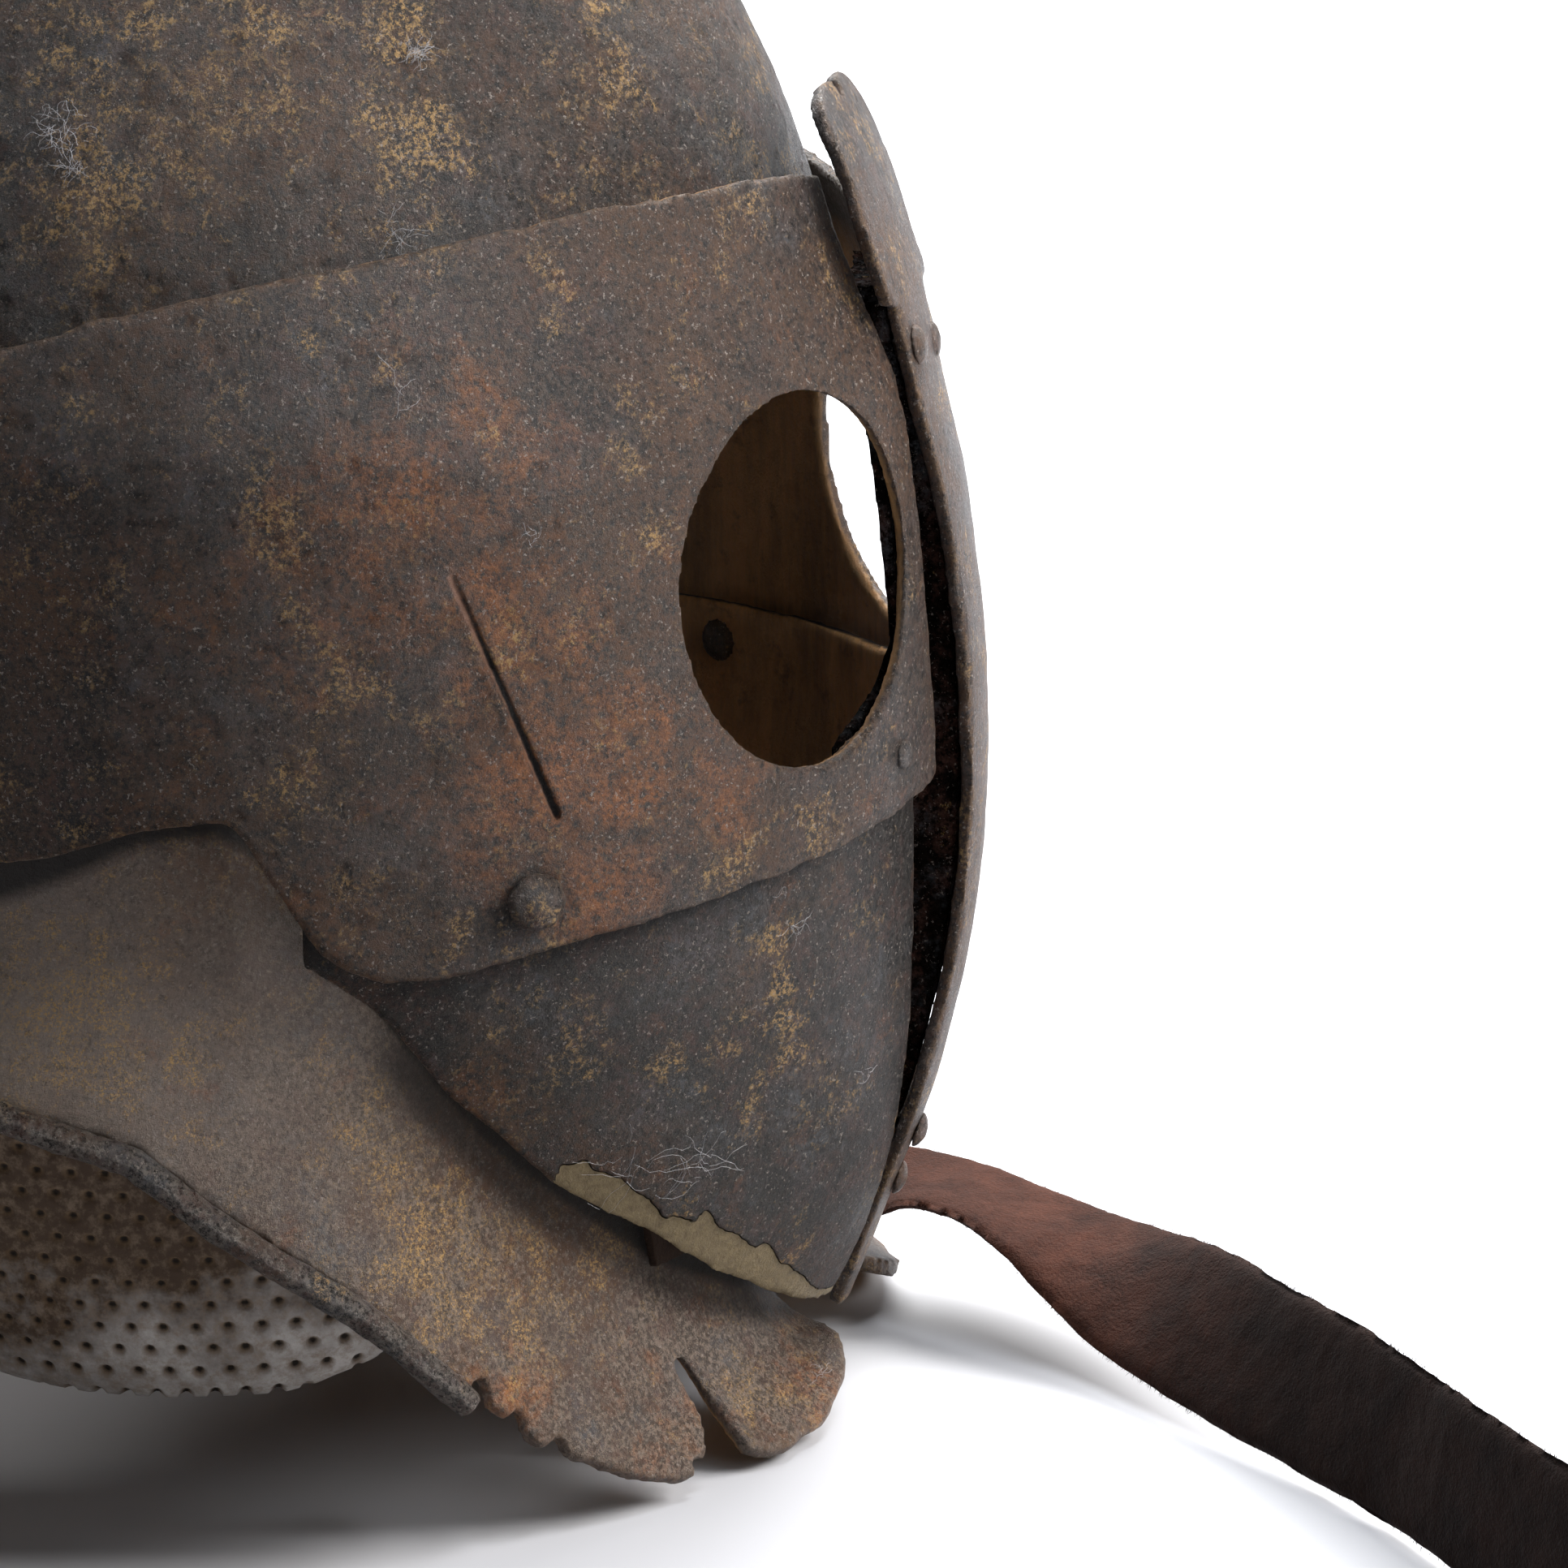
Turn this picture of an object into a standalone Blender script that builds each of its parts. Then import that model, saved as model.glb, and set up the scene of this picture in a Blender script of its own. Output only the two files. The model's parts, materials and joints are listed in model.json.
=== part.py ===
"""Knight's helmet: riveted iron skull with a lifting face guard, a flared neck collar and its padding.

World frame: metres, +Z up, the helmet faces -Y, the wearer's right side is -X, and the floor that the
collar stands on is Z = 0. Sections are ovals. Each is given by its reach forward, its half width and its
height, and a place on one by its turn in degrees: 0 at the front, 90 at the side and 180 at the back.
"""

import math

import bmesh
import bpy
from mathutils import Matrix, Vector

MM = 0.001

# Skull
SKULL_FRONT = 115 * MM
SKULL_BACK = 118 * MM
SKULL_HALF_WIDTH = 96 * MM
SKULL_WIDEST_Z = 150 * MM
SKULL_DOME = 148 * MM
SKULL_THICK = 2.4 * MM

# Face guard, which turns on the two temple bolts
PLATE_THICK = 2.4 * MM
PIVOT_FRONT = -35 * MM
PIVOT_Z = 173 * MM
GUARD_HALF_GAP = 12 * MM
GUARD_BACK = 150 * MM
EYE_FRONT = 110.5 * MM
EYE_SIDE = 43.5 * MM
EYE_Z = 151 * MM
EYE_HALF_WIDTH = 27 * MM
EYE_HALF_HEIGHT = 30 * MM
EYE_TURN = 32

# Collar
COLLAR_FRONT = 122 * MM
COLLAR_BACK = 134.8 * MM
COLLAR_HALF_WIDTH = 110 * MM
COLLAR_THICK = 3.0 * MM
COLLAR_NECK_WIDTH = SKULL_HALF_WIDTH - SKULL_THICK - 0.6 * MM
COLLAR_NECK_BACK = SKULL_BACK - SKULL_THICK - 0.6 * MM
COLLAR_STATIONS = (0.0, 0.25, 0.68, 1.0)
BEAD_RADIUS = 2.6 * MM

# Fits
TOUCH = 0.3 * MM
HINGE_GAP = 0.35 * MM

COLOURS = {
    "skull_iron": ((0.060, 0.050, 0.042), 0.62, 0.75),
    "guard_iron": ((0.085, 0.060, 0.045), 0.60, 0.75),
    "strip_iron": ((0.110, 0.085, 0.065), 0.55, 0.75),
    "collar_iron": ((0.150, 0.115, 0.090), 0.50, 0.70),
    "rivet_iron": ((0.070, 0.055, 0.045), 0.50, 0.80),
    "pad_white": ((0.420, 0.390, 0.340), 0.80, 0.00),
    "liner_leather": ((0.180, 0.100, 0.060), 0.75, 0.00),
    "strap_suede": ((0.110, 0.045, 0.028), 0.95, 0.00),
    "buckle_brass": ((0.400, 0.300, 0.150), 0.40, 0.90),
}


def place(front, side, up):
    """World point from a reach forward, a reach to the wearer's left and a height."""
    return Vector((side, -front, up))


def smooth_curve(points):
    """Function through (x, y) points in rising x, without overshoot; it stays level beyond its ends."""
    xs = [p[0] for p in points]
    ys = [p[1] for p in points]
    steps = [xs[i + 1] - xs[i] for i in range(len(xs) - 1)]
    slopes = [(ys[i + 1] - ys[i]) / steps[i] for i in range(len(steps))]
    tangents = [slopes[0]]
    for before, after in zip(slopes, slopes[1:]):
        if before * after <= 0:
            tangents.append(0.0)
        else:
            tangents.append(2 * before * after / (before + after))
    tangents.append(slopes[-1])

    def value(x):
        if x <= xs[0]:
            return ys[0]
        if x >= xs[-1]:
            return ys[-1]
        i = max(k for k in range(len(steps)) if xs[k] <= x)
        t = (x - xs[i]) / steps[i]
        rise = (2 * t ** 3 - 3 * t ** 2 + 1) * ys[i] + (3 * t ** 2 - 2 * t ** 3) * ys[i + 1]
        bend = (t ** 3 - 2 * t ** 2 + t) * tangents[i] + (t ** 3 - t ** 2) * tangents[i + 1]
        return rise + steps[i] * bend

    return value


def millimetres(points, x_scale=MM):
    """The same curve with its values, and as a rule its places too, changed from millimetres to metres."""
    return smooth_curve([(x * x_scale, y * MM) for x, y in points])


def oval(front, back, half_width, turn):
    """Reach forward and reach aside of an oval section at a turn in degrees."""
    angle = math.radians(turn)
    reach = front if math.cos(angle) > 0 else back
    return reach * math.cos(angle), half_width * math.sin(angle)


# Profiles against height, in mm: the face guard's upper plates and its lower plates
GUARD_REACH = millimetres([(94, 128.6), (112, 129.4), (132, 128.4), (146, 127.1), (160, 125.5), (175, 122.9),
                           (188, 117.6), (201, 112.2), (214, 107.6)])
GUARD_WIDTH = millimetres([(94, 102), (175, 102), (195, 99), (214, 93.5)])
CHIN_REACH = millimetres([(14, 110.8), (35, 119.4), (53, 123.4), (75, 125.4), (97, 125.8), (126, 125.4)])
CHIN_WIDTH = millimetres([(14, 76), (36, 82), (53, 87), (72, 92), (90, 97.5), (100, 99), (126, 99)])

# Edges against turn: degrees and mm of height
SKULL_EDGE = millimetres([(0, 198), (38, 197), (52, 176), (64, 132), (72, 125), (98, 124), (110, 108),
                          (140, 104), (180, 102)], 1)
GUARD_TOP = millimetres([(7, 210.5), (17, 213), (36, 213.5), (50, 211.5), (66, 207), (75, 204), (84, 200),
                         (92, 195), (104, 191), (107.3, 188.2), (109.6, 182.5), (110.6, 176)], 1)
GUARD_SEAM = millimetres([(7, 110), (24, 106), (40, 102.5), (52, 99), (64, 95), (69, 99), (73, 111),
                          (76.5, 122), (81, 121), (87, 117), (92, 114.5), (95, 115.5), (99, 123), (102, 139),
                          (104.5, 154.8), (107.3, 157.8), (109.6, 163.5), (110.6, 170)], 1)
CHIN_TOP = millimetres([(7, 125), (18, 122), (28, 116), (60, 114), (72, 109)], 1)
CHIN_EDGE = millimetres([(7, 14.5), (15, 17.5), (35, 32.5), (44, 43.5), (51.5, 53), (57.5, 65.5), (61, 73),
                         (66, 89), (72, 99)], 1)

# Collar: heights of its hidden upper ring, its crest and its rim against turn
CREST_Z = millimetres([(10, 15), (25, 26), (35, 35), (44, 47), (51, 57), (57, 69), (61, 79), (66, 95),
                       (71, 108), (76, 117), (82, 115.5), (88, 110), (95, 105), (105, 102), (120, 98),
                       (180, 92)], 1)
CREST_WIDTH = millimetres([(10, 68), (35, 74.5), (51, 80), (61, 87), (66, 91.5), (71, 93.5), (78, 96),
                           (98, 95.5), (110, 93), (180, 93)], 1)
CREST_REACH = millimetres([(10, 103), (35, 108.5), (51, 115), (66, 121), (180, 121)], 1)
RING_RISE = millimetres([(10, 12), (66, 10), (76, 6), (98, 6), (110, 15), (180, 16)], 1)
RIM_Z = millimetres([(10, 11.5), (13, 8), (17, 5), (22, 2.9), (28, 2.2), (37, 3.2), (50, 13), (57, 25),
                     (64, 40), (71, 51), (77, 60), (82, 69), (88, 73), (97, 78.5), (104, 79), (112, 74),
                     (122, 58), (134, 33), (148, 9), (160, 2.8), (166, 2.2), (180, 5)], 1)

COLLAR_START = 10.5
BEAD_START = 57
BEAD_END = 124


def guard_point(turn, height):
    """Point of the upper plates' outer face."""
    front, side = oval(GUARD_REACH(height), GUARD_BACK, GUARD_WIDTH(height), turn)
    return front, side, height


def chin_point(turn, height):
    """Point of the lower plates' outer face."""
    front, side = oval(CHIN_REACH(height), GUARD_BACK, CHIN_WIDTH(height), turn)
    return front, side, height


def skull_point(turn, rise, inset=0.0):
    """Point of the skull's face: rise runs from 0 at the widest height to 1 at the top, below 0 down the wall."""
    if rise < 0:
        height = SKULL_WIDEST_Z + rise * SKULL_DOME
        narrowing = 1.0
    else:
        height = SKULL_WIDEST_Z + (SKULL_DOME - inset) * math.sin(rise * math.pi / 2)
        narrowing = math.cos(rise * math.pi / 2)
    front, side = oval(SKULL_FRONT - inset, SKULL_BACK - inset, SKULL_HALF_WIDTH - inset, turn)
    return front * narrowing, side * narrowing, height


def skull_rise(height):
    """The rise at which the skull's face passes a height."""
    if height < SKULL_WIDEST_Z:
        return (height - SKULL_WIDEST_Z) / SKULL_DOME
    return math.asin((height - SKULL_WIDEST_Z) / SKULL_DOME) * 2 / math.pi


def collar_point(turn, drop):
    """Point of the collar's outer face: drop runs from 0 at the hidden upper ring to 1 at the rim."""
    crest_z = CREST_Z(turn)
    crest = oval(CREST_REACH(turn), COLLAR_NECK_BACK, CREST_WIDTH(turn), turn) + (crest_z,)
    ring_width = min(CREST_WIDTH(turn) - 1 * MM, COLLAR_NECK_WIDTH)
    ring = oval(CREST_REACH(turn) - 3 * MM, COLLAR_NECK_BACK, ring_width, turn)
    ring += (crest_z + RING_RISE(turn),)
    rim = oval(COLLAR_FRONT, COLLAR_BACK, COLLAR_HALF_WIDTH, turn) + (RIM_Z(turn),)
    belly = [crest[k] * 0.58 + rim[k] * 0.42 for k in (0, 1)] + [crest_z * 0.44 + rim[2] * 0.56]
    values = []
    for k in range(3):
        values.append(smooth_curve(list(zip(COLLAR_STATIONS, (ring[k], crest[k], belly[k], rim[k]))))(drop))
    return tuple(values)


def material(slot):
    """Principled material of a slot, made once."""
    made = bpy.data.materials.get(slot)
    if made:
        return made
    colour, roughness, metallic = COLOURS[slot]
    made = bpy.data.materials.new(slot)
    made.use_nodes = True
    shader = made.node_tree.nodes["Principled BSDF"]
    shader.inputs["Base Color"].default_value = (*colour, 1)
    shader.inputs["Roughness"].default_value = roughness
    shader.inputs["Metallic"].default_value = metallic
    made.diffuse_color = (*colour, 1)
    return made


def add_object(name, mesh, slot, parent=None):
    """Link a mesh as a named part with its material, keeping its place when it gets a parent."""
    part = bpy.data.objects.new(name, mesh)
    bpy.context.scene.collection.objects.link(part)
    part.data.materials.append(material(slot))
    if parent:
        part.parent = parent
        part.matrix_parent_inverse = parent.matrix_world.inverted()
    return part


def finish_mesh(name, bm, sharp=35):
    """Turn a bmesh into a mesh with outward faces, smooth apart from its sharp edges."""
    bmesh.ops.recalc_face_normals(bm, faces=bm.faces)
    mesh = bpy.data.meshes.new(name)
    bm.to_mesh(mesh)
    bm.free()
    mesh.shade_smooth()
    mesh.set_sharp_from_angle(angle=math.radians(sharp))
    return mesh


def grid_mesh(name, rows):
    """Open sheet through rows of points, facing away from the helmet's middle."""
    bm = bmesh.new()
    lines = [[bm.verts.new(point) for point in row] for row in rows]
    for low, high in zip(lines, lines[1:]):
        for a, b, c, d in zip(low, low[1:], high[1:], high):
            corners = [v for i, v in enumerate((a, b, c, d)) if v not in (a, b, c, d)[:i]]
            bm.faces.new(corners)
    bmesh.ops.remove_doubles(bm, verts=bm.verts, dist=0.00001)
    bm.normal_update()
    outward = sum(face.normal.dot(face.calc_center_median() - Vector((0, 0, 0.13))) for face in bm.faces)
    if outward < 0:
        bmesh.ops.reverse_faces(bm, faces=bm.faces)
    mesh = bpy.data.meshes.new(name)
    bm.to_mesh(mesh)
    bm.free()
    return mesh


def thicken(part, thickness):
    """Give an open sheet its thickness inwards."""
    solid = part.modifiers.new("thickness", "SOLIDIFY")
    solid.thickness = thickness
    solid.offset = -1
    solid.use_even_offset = True


def sheet_part(name, point, turns, rows, span, thickness, slot, sign=1, parent=None):
    """Curved plate: point(turn, span(turn, v)) over a range of turns and v from 0 to 1, then thickened."""
    lines = []
    for j in range(rows + 1):
        line = []
        for turn in turns:
            front, side, up = point(turn, span(turn, j / rows))
            line.append(place(front, sign * side, up))
        lines.append(line)
    part = add_object(name, grid_mesh(name, lines), slot, parent)
    thicken(part, thickness)
    return part


def between(low, high):
    """Span function that runs from one edge curve to another."""
    return lambda turn, v: low(turn) + (high(turn) - low(turn)) * v


def spread(first, last, count):
    """Evenly spaced values."""
    return [first + (last - first) * i / count for i in range(count + 1)]


def cylinder_mesh(name, radius, length, direction, centre, sides=20, half_height=None):
    """Closed round or oval prism on an axis, made for cutters, shanks and discs."""
    bm = bmesh.new()
    bmesh.ops.create_cone(bm, cap_ends=True, segments=sides, radius1=radius, radius2=radius, depth=length)
    if half_height:
        bmesh.ops.scale(bm, vec=(half_height / radius, 1, 1), verts=bm.verts)
    turn = direction.to_track_quat("Z", "Y").to_matrix().to_4x4()
    bmesh.ops.transform(bm, matrix=turn, verts=bm.verts)
    bmesh.ops.translate(bm, vec=centre, verts=bm.verts)
    return finish_mesh(name, bm)


def combine(part, mesh, operation):
    """Boolean of a part with a closed mesh."""
    cutter = bpy.data.objects.new(mesh.name, mesh)
    bpy.context.scene.collection.objects.link(cutter)
    cutter.hide_render = True
    cutter.display_type = "WIRE"
    change = part.modifiers.new(operation.lower(), "BOOLEAN")
    change.operation = operation
    change.solver = "EXACT"
    change.object = cutter


def cut(part, mesh):
    """Subtract a closed mesh from a part."""
    combine(part, mesh, "DIFFERENCE")


def join(part, mesh):
    """Add a closed mesh to a part."""
    combine(part, mesh, "UNION")


def turned_mesh(name, profile, sides, direction, centre):
    """Solid of revolution from (radius, height) points, capped by points on the axis at both ends."""
    bm = bmesh.new()
    foot = bm.verts.new((0, 0, profile[0][1]))
    head = bm.verts.new((0, 0, profile[-1][1]))
    rings = []
    for radius, height in profile[1:-1]:
        ring = []
        for k in range(sides):
            angle = 2 * math.pi * k / sides
            ring.append(bm.verts.new((radius * math.cos(angle), radius * math.sin(angle), height)))
        rings.append(ring)
    for k in range(sides):
        m = (k + 1) % sides
        bm.faces.new((foot, rings[0][k], rings[0][m]))
        bm.faces.new((head, rings[-1][m], rings[-1][k]))
        for low, high in zip(rings, rings[1:]):
            bm.faces.new((low[k], high[k], high[m], low[m]))
    bmesh.ops.transform(bm, matrix=direction.to_track_quat("Z", "Y").to_matrix().to_4x4(), verts=bm.verts)
    bmesh.ops.translate(bm, vec=centre, verts=bm.verts)
    return finish_mesh(name, bm)


def domed_head(radius, rise):
    """Profile points of a rivet's or bolt's domed head, from its rim to its top."""
    return [(radius * math.cos(a), rise * math.sin(a)) for a in (0.2, 0.7, 1.2)] + [(0, rise)]


def rivet(name, seat, direction, grip, head, slot="rivet_iron", parent=None, tail=None):
    """Rivet through plates: domed head outside, shank, and a flatter tail head inside.

    seat is the centre of the head's underside, grip the thickness held between the heads.
    """
    tail = tail or head * 0.85
    shank = head * 0.5
    profile = [(0, -grip - tail * 0.45)]
    profile += [(tail * 0.7, -grip - tail * 0.4), (tail, -grip), (shank, -grip), (shank, 0), (head, 0)]
    profile += domed_head(head, head * 0.62)
    return add_object(name, turned_mesh(name, profile, 12, direction, seat), slot, parent)


def normal_of(point, turn, value):
    """Outward normal of a surface function in the world, on the wearer's left side."""
    here = place(*point(turn, value))
    along = place(*point(turn + 0.5, value)) - here
    up = place(*point(turn, value + 0.0005)) - here
    normal = along.cross(up).normalized()
    outward = Vector((here.x, here.y, 0))
    return normal if normal.dot(outward) > 0 else -normal


def rivet_with_hole(plates, name, point, turn, height, grip, head, sign, parent, lift=TOUCH):
    """Drill the named plates on a surface normal and set a rivet in the hole, clear by the touching gap."""
    normal = normal_of(point, turn, height)
    seat = place(*point(turn, height)) + normal * lift
    normal.x *= sign
    seat.x *= sign
    rivet(name, seat, normal, grip + 2 * lift, head, parent=parent)
    for plate in plates:
        hole = cylinder_mesh(f"{name}_hole", head * 0.5 + TOUCH, 0.024, normal, seat, 14)
        cut(plate, hole)


def bar_mesh(name, sections):
    """Closed bar through rings of equal point count, with its two ends filled."""
    bm = bmesh.new()
    rings = [[bm.verts.new(point) for point in ring] for ring in sections]
    count = len(rings[0])
    for low, high in zip(rings, rings[1:]):
        for k in range(count):
            m = (k + 1) % count
            bm.faces.new((low[k], low[m], high[m], high[k]))
    bm.faces.new(rings[0])
    bm.faces.new(rings[-1])
    return finish_mesh(name, bm)


SIDES = (("right", -1), ("left", 1))


def clear_scene():
    """Remove whatever the file holds at the start."""
    for old in list(bpy.data.objects):
        bpy.data.objects.remove(old)


def folded(turn):
    """The turn on one side that mirrors a turn of the full circle."""
    return turn if turn <= 180 else 360 - turn


def build_skull():
    """One-piece iron skull, open at the face and the neck."""
    lines = []
    for j in range(12):
        line = []
        for turn in spread(0, 360, 52):
            low = skull_rise(SKULL_EDGE(folded(turn)))
            line.append(place(*skull_point(turn, low + (1 - low) * j / 11)))
        lines.append(line)
    skull = add_object("skull_shell", grid_mesh("skull_shell", lines), "skull_iron")
    thicken(skull, SKULL_THICK)
    return skull


def ring_pad(name, low, high, inset, thick, slot, rows=2):
    """Closed band inside the skull between two heights, a set distance in from its outer face."""
    lines = []
    for j in range(rows + 1):
        rise = skull_rise(low + (high - low) * j / rows)
        lines.append([place(*skull_point(turn, rise, inset)) for turn in spread(0, 360, 40)])
    pad = add_object(name, grid_mesh(name, lines), slot)
    thicken(pad, thick)


def build_liner():
    """Leather sweatband at the brow and a quilted cap above it, both hung inside the skull."""
    ring_pad("sweatband", 201 * MM, 229 * MM, 7 * MM, 2.5 * MM, "liner_leather")
    lines = []
    for j in range(7):
        rise = skull_rise(231 * MM)
        rise += (1 - rise) * j / 6
        lines.append([place(*skull_point(turn, rise, 3.5 * MM)) for turn in spread(0, 360, 32)])
    cap = add_object("crown_liner", grid_mesh("crown_liner", lines), "pad_white")
    thicken(cap, 6 * MM)


def build_guard_plates(hinge):
    """The two upper plates, each reaching from the centre strip back to its temple bolt, with an eye hole."""
    turns = spread(7, 98, 21) + [100, 102, 103.5, 105, 106.5, 107.8, 109, 110, 110.5]
    plates = {}
    for side, sign in SIDES:
        plate = sheet_part(f"visor_plate_{side}", guard_point, turns, 7, between(GUARD_SEAM, GUARD_TOP),
                           PLATE_THICK, "guard_iron", sign, hinge)
        turn = math.radians(EYE_TURN)
        outward = Vector((sign * math.sin(turn), -math.cos(turn), 0))
        centre = place(EYE_FRONT, sign * EYE_SIDE, EYE_Z)
        eye = cylinder_mesh(f"eye_hole_{side}", EYE_HALF_HEIGHT, 0.04, outward, centre, 36)
        squeeze_sideways(eye, centre, outward, EYE_HALF_WIDTH / EYE_HALF_HEIGHT)
        cut(plate, eye)
        plates[side] = plate
    return plates


def squeeze_sideways(mesh, centre, outward, share):
    """Narrow a cutter to an oval, across its axis and level."""
    across = outward.cross(Vector((0, 0, 1))).normalized()
    for vertex in mesh.vertices:
        away = (vertex.co - centre).dot(across)
        vertex.co -= across * away * (1 - share)


def build_chin_plates(hinge):
    """The two lower plates, tucked under the upper ones."""
    turns = spread(7, 71, 16)
    plates = {}
    for side, sign in SIDES:
        plates[side] = sheet_part(f"chin_plate_{side}", chin_point, turns, 8, between(CHIN_EDGE, CHIN_TOP),
                                  PLATE_THICK, "guard_iron", sign, hinge)
    return plates


STRIP_THICK = 2.4 * MM
KEEL_GAP = 1.0 * MM
STRIP_CROWN = 1.0 * MM
STRIP_REACH = millimetres([(11, 111.6), (33, 119.6), (51, 126.2), (60, 128.5), (75, 131.8), (97, 134.4),
                           (110, 134.8), (120, 134.5), (133, 133.6), (146, 132), (159, 129.8), (168, 127.4),
                           (185, 123.4), (192, 121.6), (200, 118.8), (212, 114.2), (222, 108.8), (229, 104.4)])
STRIP_HALF = millimetres([(11, 5.5), (25, 8), (60, 8.6), (100, 9), (130, 9.6), (150, 10.6), (189, 13)])
TAB_HALF = millimetres([(189, 18.5), (205, 19.5), (220, 18.5), (225, 16.5), (228, 12), (229, 8)])
TAB_STEP_Z = 189.5 * MM
KEEL_HALF = millimetres([(18, 8), (44, 9), (66, 19), (104, 31), (120, 31), (127, 17), (172, 17), (182, 23), (192, 20)])
STEM_HALF = millimetres([(18, 4), (60, 4.5), (168, 5.5), (177, 11), (192, 10)])


def strip_half(height):
    """Half width of the front strip, with the wider tab above its step."""
    return STRIP_HALF(height) if height < TAB_STEP_Z else TAB_HALF(height)


def build_strip(hinge):
    """The long front strip, which carries the lifting tab at the brow."""
    sections = []
    steps = spread(11 * MM, TAB_STEP_Z - 0.2 * MM, 22) + spread(TAB_STEP_Z + 0.6 * MM, 225 * MM, 6)
    for height in steps + [227 * MM, 228.4 * MM, 229 * MM]:
        half = strip_half(height)
        reach = STRIP_REACH(height)
        lean = (STRIP_REACH(height + MM) - STRIP_REACH(height - MM)) / (2 * MM)
        back = Vector((0, 1, lean)).normalized() * STRIP_THICK
        front = [place(reach - STRIP_CROWN, -half, height), place(reach, 0, height),
                 place(reach - STRIP_CROWN, half, height)]
        sections.append(front + [point + back for point in reversed(front)])
    return add_object("front_strip", bar_mesh("front_strip", sections), "strip_iron", hinge)


def keel_reach(height):
    """Reach of the keel's flange: close behind the lower plates, then close behind the upper ones."""
    share = min(max((height - 126 * MM) / (7 * MM), 0), 1)
    reach = CHIN_REACH(height) * (1 - share) + GUARD_REACH(height) * share
    return reach - PLATE_THICK - KEEL_GAP


def keel_flange(height, side):
    """Point of the flange's front face at a distance aside."""
    width = CHIN_WIDTH(height) if height < 126 * MM else GUARD_WIDTH(height)
    bend = math.sqrt(1 - (side / (width - PLATE_THICK - KEEL_GAP)) ** 2)
    return place(keel_reach(height) * bend, side, height)


def build_keel(hinge):
    """The iron bar behind the middle gap: a flange inside the plates, and a rib that holds the front strip off."""
    sections = []
    for height in spread(18 * MM, 192 * MM, 24):
        half = KEEL_HALF(height)
        stem = STEM_HALF(height)
        tip = STRIP_REACH(height) - STRIP_THICK * 1.12 - STRIP_CROWN - TOUCH
        backs = [keel_flange(height, side) + Vector((0, 2.2 * MM, 0)) for side in (half, stem, -stem, -half)]
        fronts = [keel_flange(height, -half), keel_flange(height, -stem), place(tip, -stem, height),
                  place(tip, stem, height), keel_flange(height, stem), keel_flange(height, half)]
        sections.append(fronts + backs)
    return add_object("centre_keel", bar_mesh("centre_keel", sections), "strip_iron", hinge)


def build_guard_rivets(hinge, guard, chin, strip, keel):
    """Rivets of the face guard: two through each pair of plates, and four that hold the front strip."""
    for side, sign in SIDES:
        pair = [guard[side], chin[side]]
        rivet_with_hole(pair, f"cheek_rivet_{side}", guard_point, 54, 107 * MM, 2 * PLATE_THICK + 0.8 * MM,
                        3.9 * MM, sign, hinge)
        rivet_with_hole(pair + [keel], f"nose_rivet_{side}", guard_point, 14.8, 117.5 * MM,
                        3 * PLATE_THICK + 4.6 * MM, 2.0 * MM, sign, hinge)
        strip_rivet(f"strip_rivet_top_{side}", 184 * MM, sign * 7.2 * MM, 3.4 * MM, [strip, keel], hinge)
    strip_rivet("strip_rivet_low_upper", 43 * MM, 0, 3.0 * MM, [strip, keel], hinge)
    strip_rivet("strip_rivet_low_lower", 34 * MM, 0, 3.0 * MM, [strip, keel], hinge)


def strip_rivet(name, height, side, head, plates, hinge):
    """Rivet through the front strip and the keel, square to the strip."""
    lean = (STRIP_REACH(height + MM) - STRIP_REACH(height - MM)) / (2 * MM)
    normal = Vector((0, -1, -lean)).normalized()
    reach = STRIP_REACH(height) - STRIP_CROWN * (abs(side) / strip_half(height)) * 0.8
    seat = place(reach, side, height) + normal * TOUCH
    grip = (reach - keel_reach(height)) + 3.4 * MM
    rivet(name, seat, normal, grip, head, parent=hinge, tail=head * 0.8)
    for plate in plates:
        cut(plate, cylinder_mesh(f"{name}_hole", head * 0.5 + TOUCH, 0.05, normal, seat, 14))


def skull_side(front, height):
    """Half width of the skull's outer face at a reach and a height."""
    reach = SKULL_FRONT if front > 0 else SKULL_BACK
    rise = max(height - SKULL_WIDEST_Z, 0) / SKULL_DOME
    return SKULL_HALF_WIDTH * math.sqrt(1 - (front / reach) ** 2 - rise ** 2)


def build_temple_hinges(skull, guard, hinge):
    """At each temple: a domed bolt through plate and skull, a leather spacer between them, and a nut inside."""
    outside = guard_point(103.5, PIVOT_Z)[1]
    bolt_radius = 3.0 * MM
    inner_wall = skull_side(PIVOT_FRONT, PIVOT_Z) - SKULL_THICK
    for side, sign in SIDES:
        axis = Vector((sign, 0, 0))
        seat = place(PIVOT_FRONT, sign * (outside + 1.7 * MM), PIVOT_Z)
        reach = outside + 1.7 * MM - inner_wall + 9 * MM
        profile = [(0, -reach), (bolt_radius * 0.8, -reach), (bolt_radius, -reach + MM), (bolt_radius, 0)]
        profile += [(8 * MM, 0)] + domed_head(8 * MM, 4.2 * MM)
        add_object(f"temple_bolt_{side}", turned_mesh("bolt", profile, 24, axis, seat), "rivet_iron")
        for plate in (skull, guard[side]):
            hole = cylinder_mesh(f"bolt_hole_{side}", bolt_radius + HINGE_GAP, 0.06, axis, seat, 24)
            cut(plate, hole)
        build_spacer(side, sign, bolt_radius + TOUCH)
        nut_seat = place(PIVOT_FRONT, sign * (inner_wall - 5 * MM), PIVOT_Z)
        nut = cylinder_mesh(f"temple_nut_{side}", 6.4 * MM, 4 * MM, axis, nut_seat, 6)
        part = add_object(f"temple_nut_{side}", nut, "rivet_iron")
        cut(part, cylinder_mesh(f"nut_bore_{side}", bolt_radius + TOUCH, 0.03, axis, nut_seat, 24))


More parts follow.
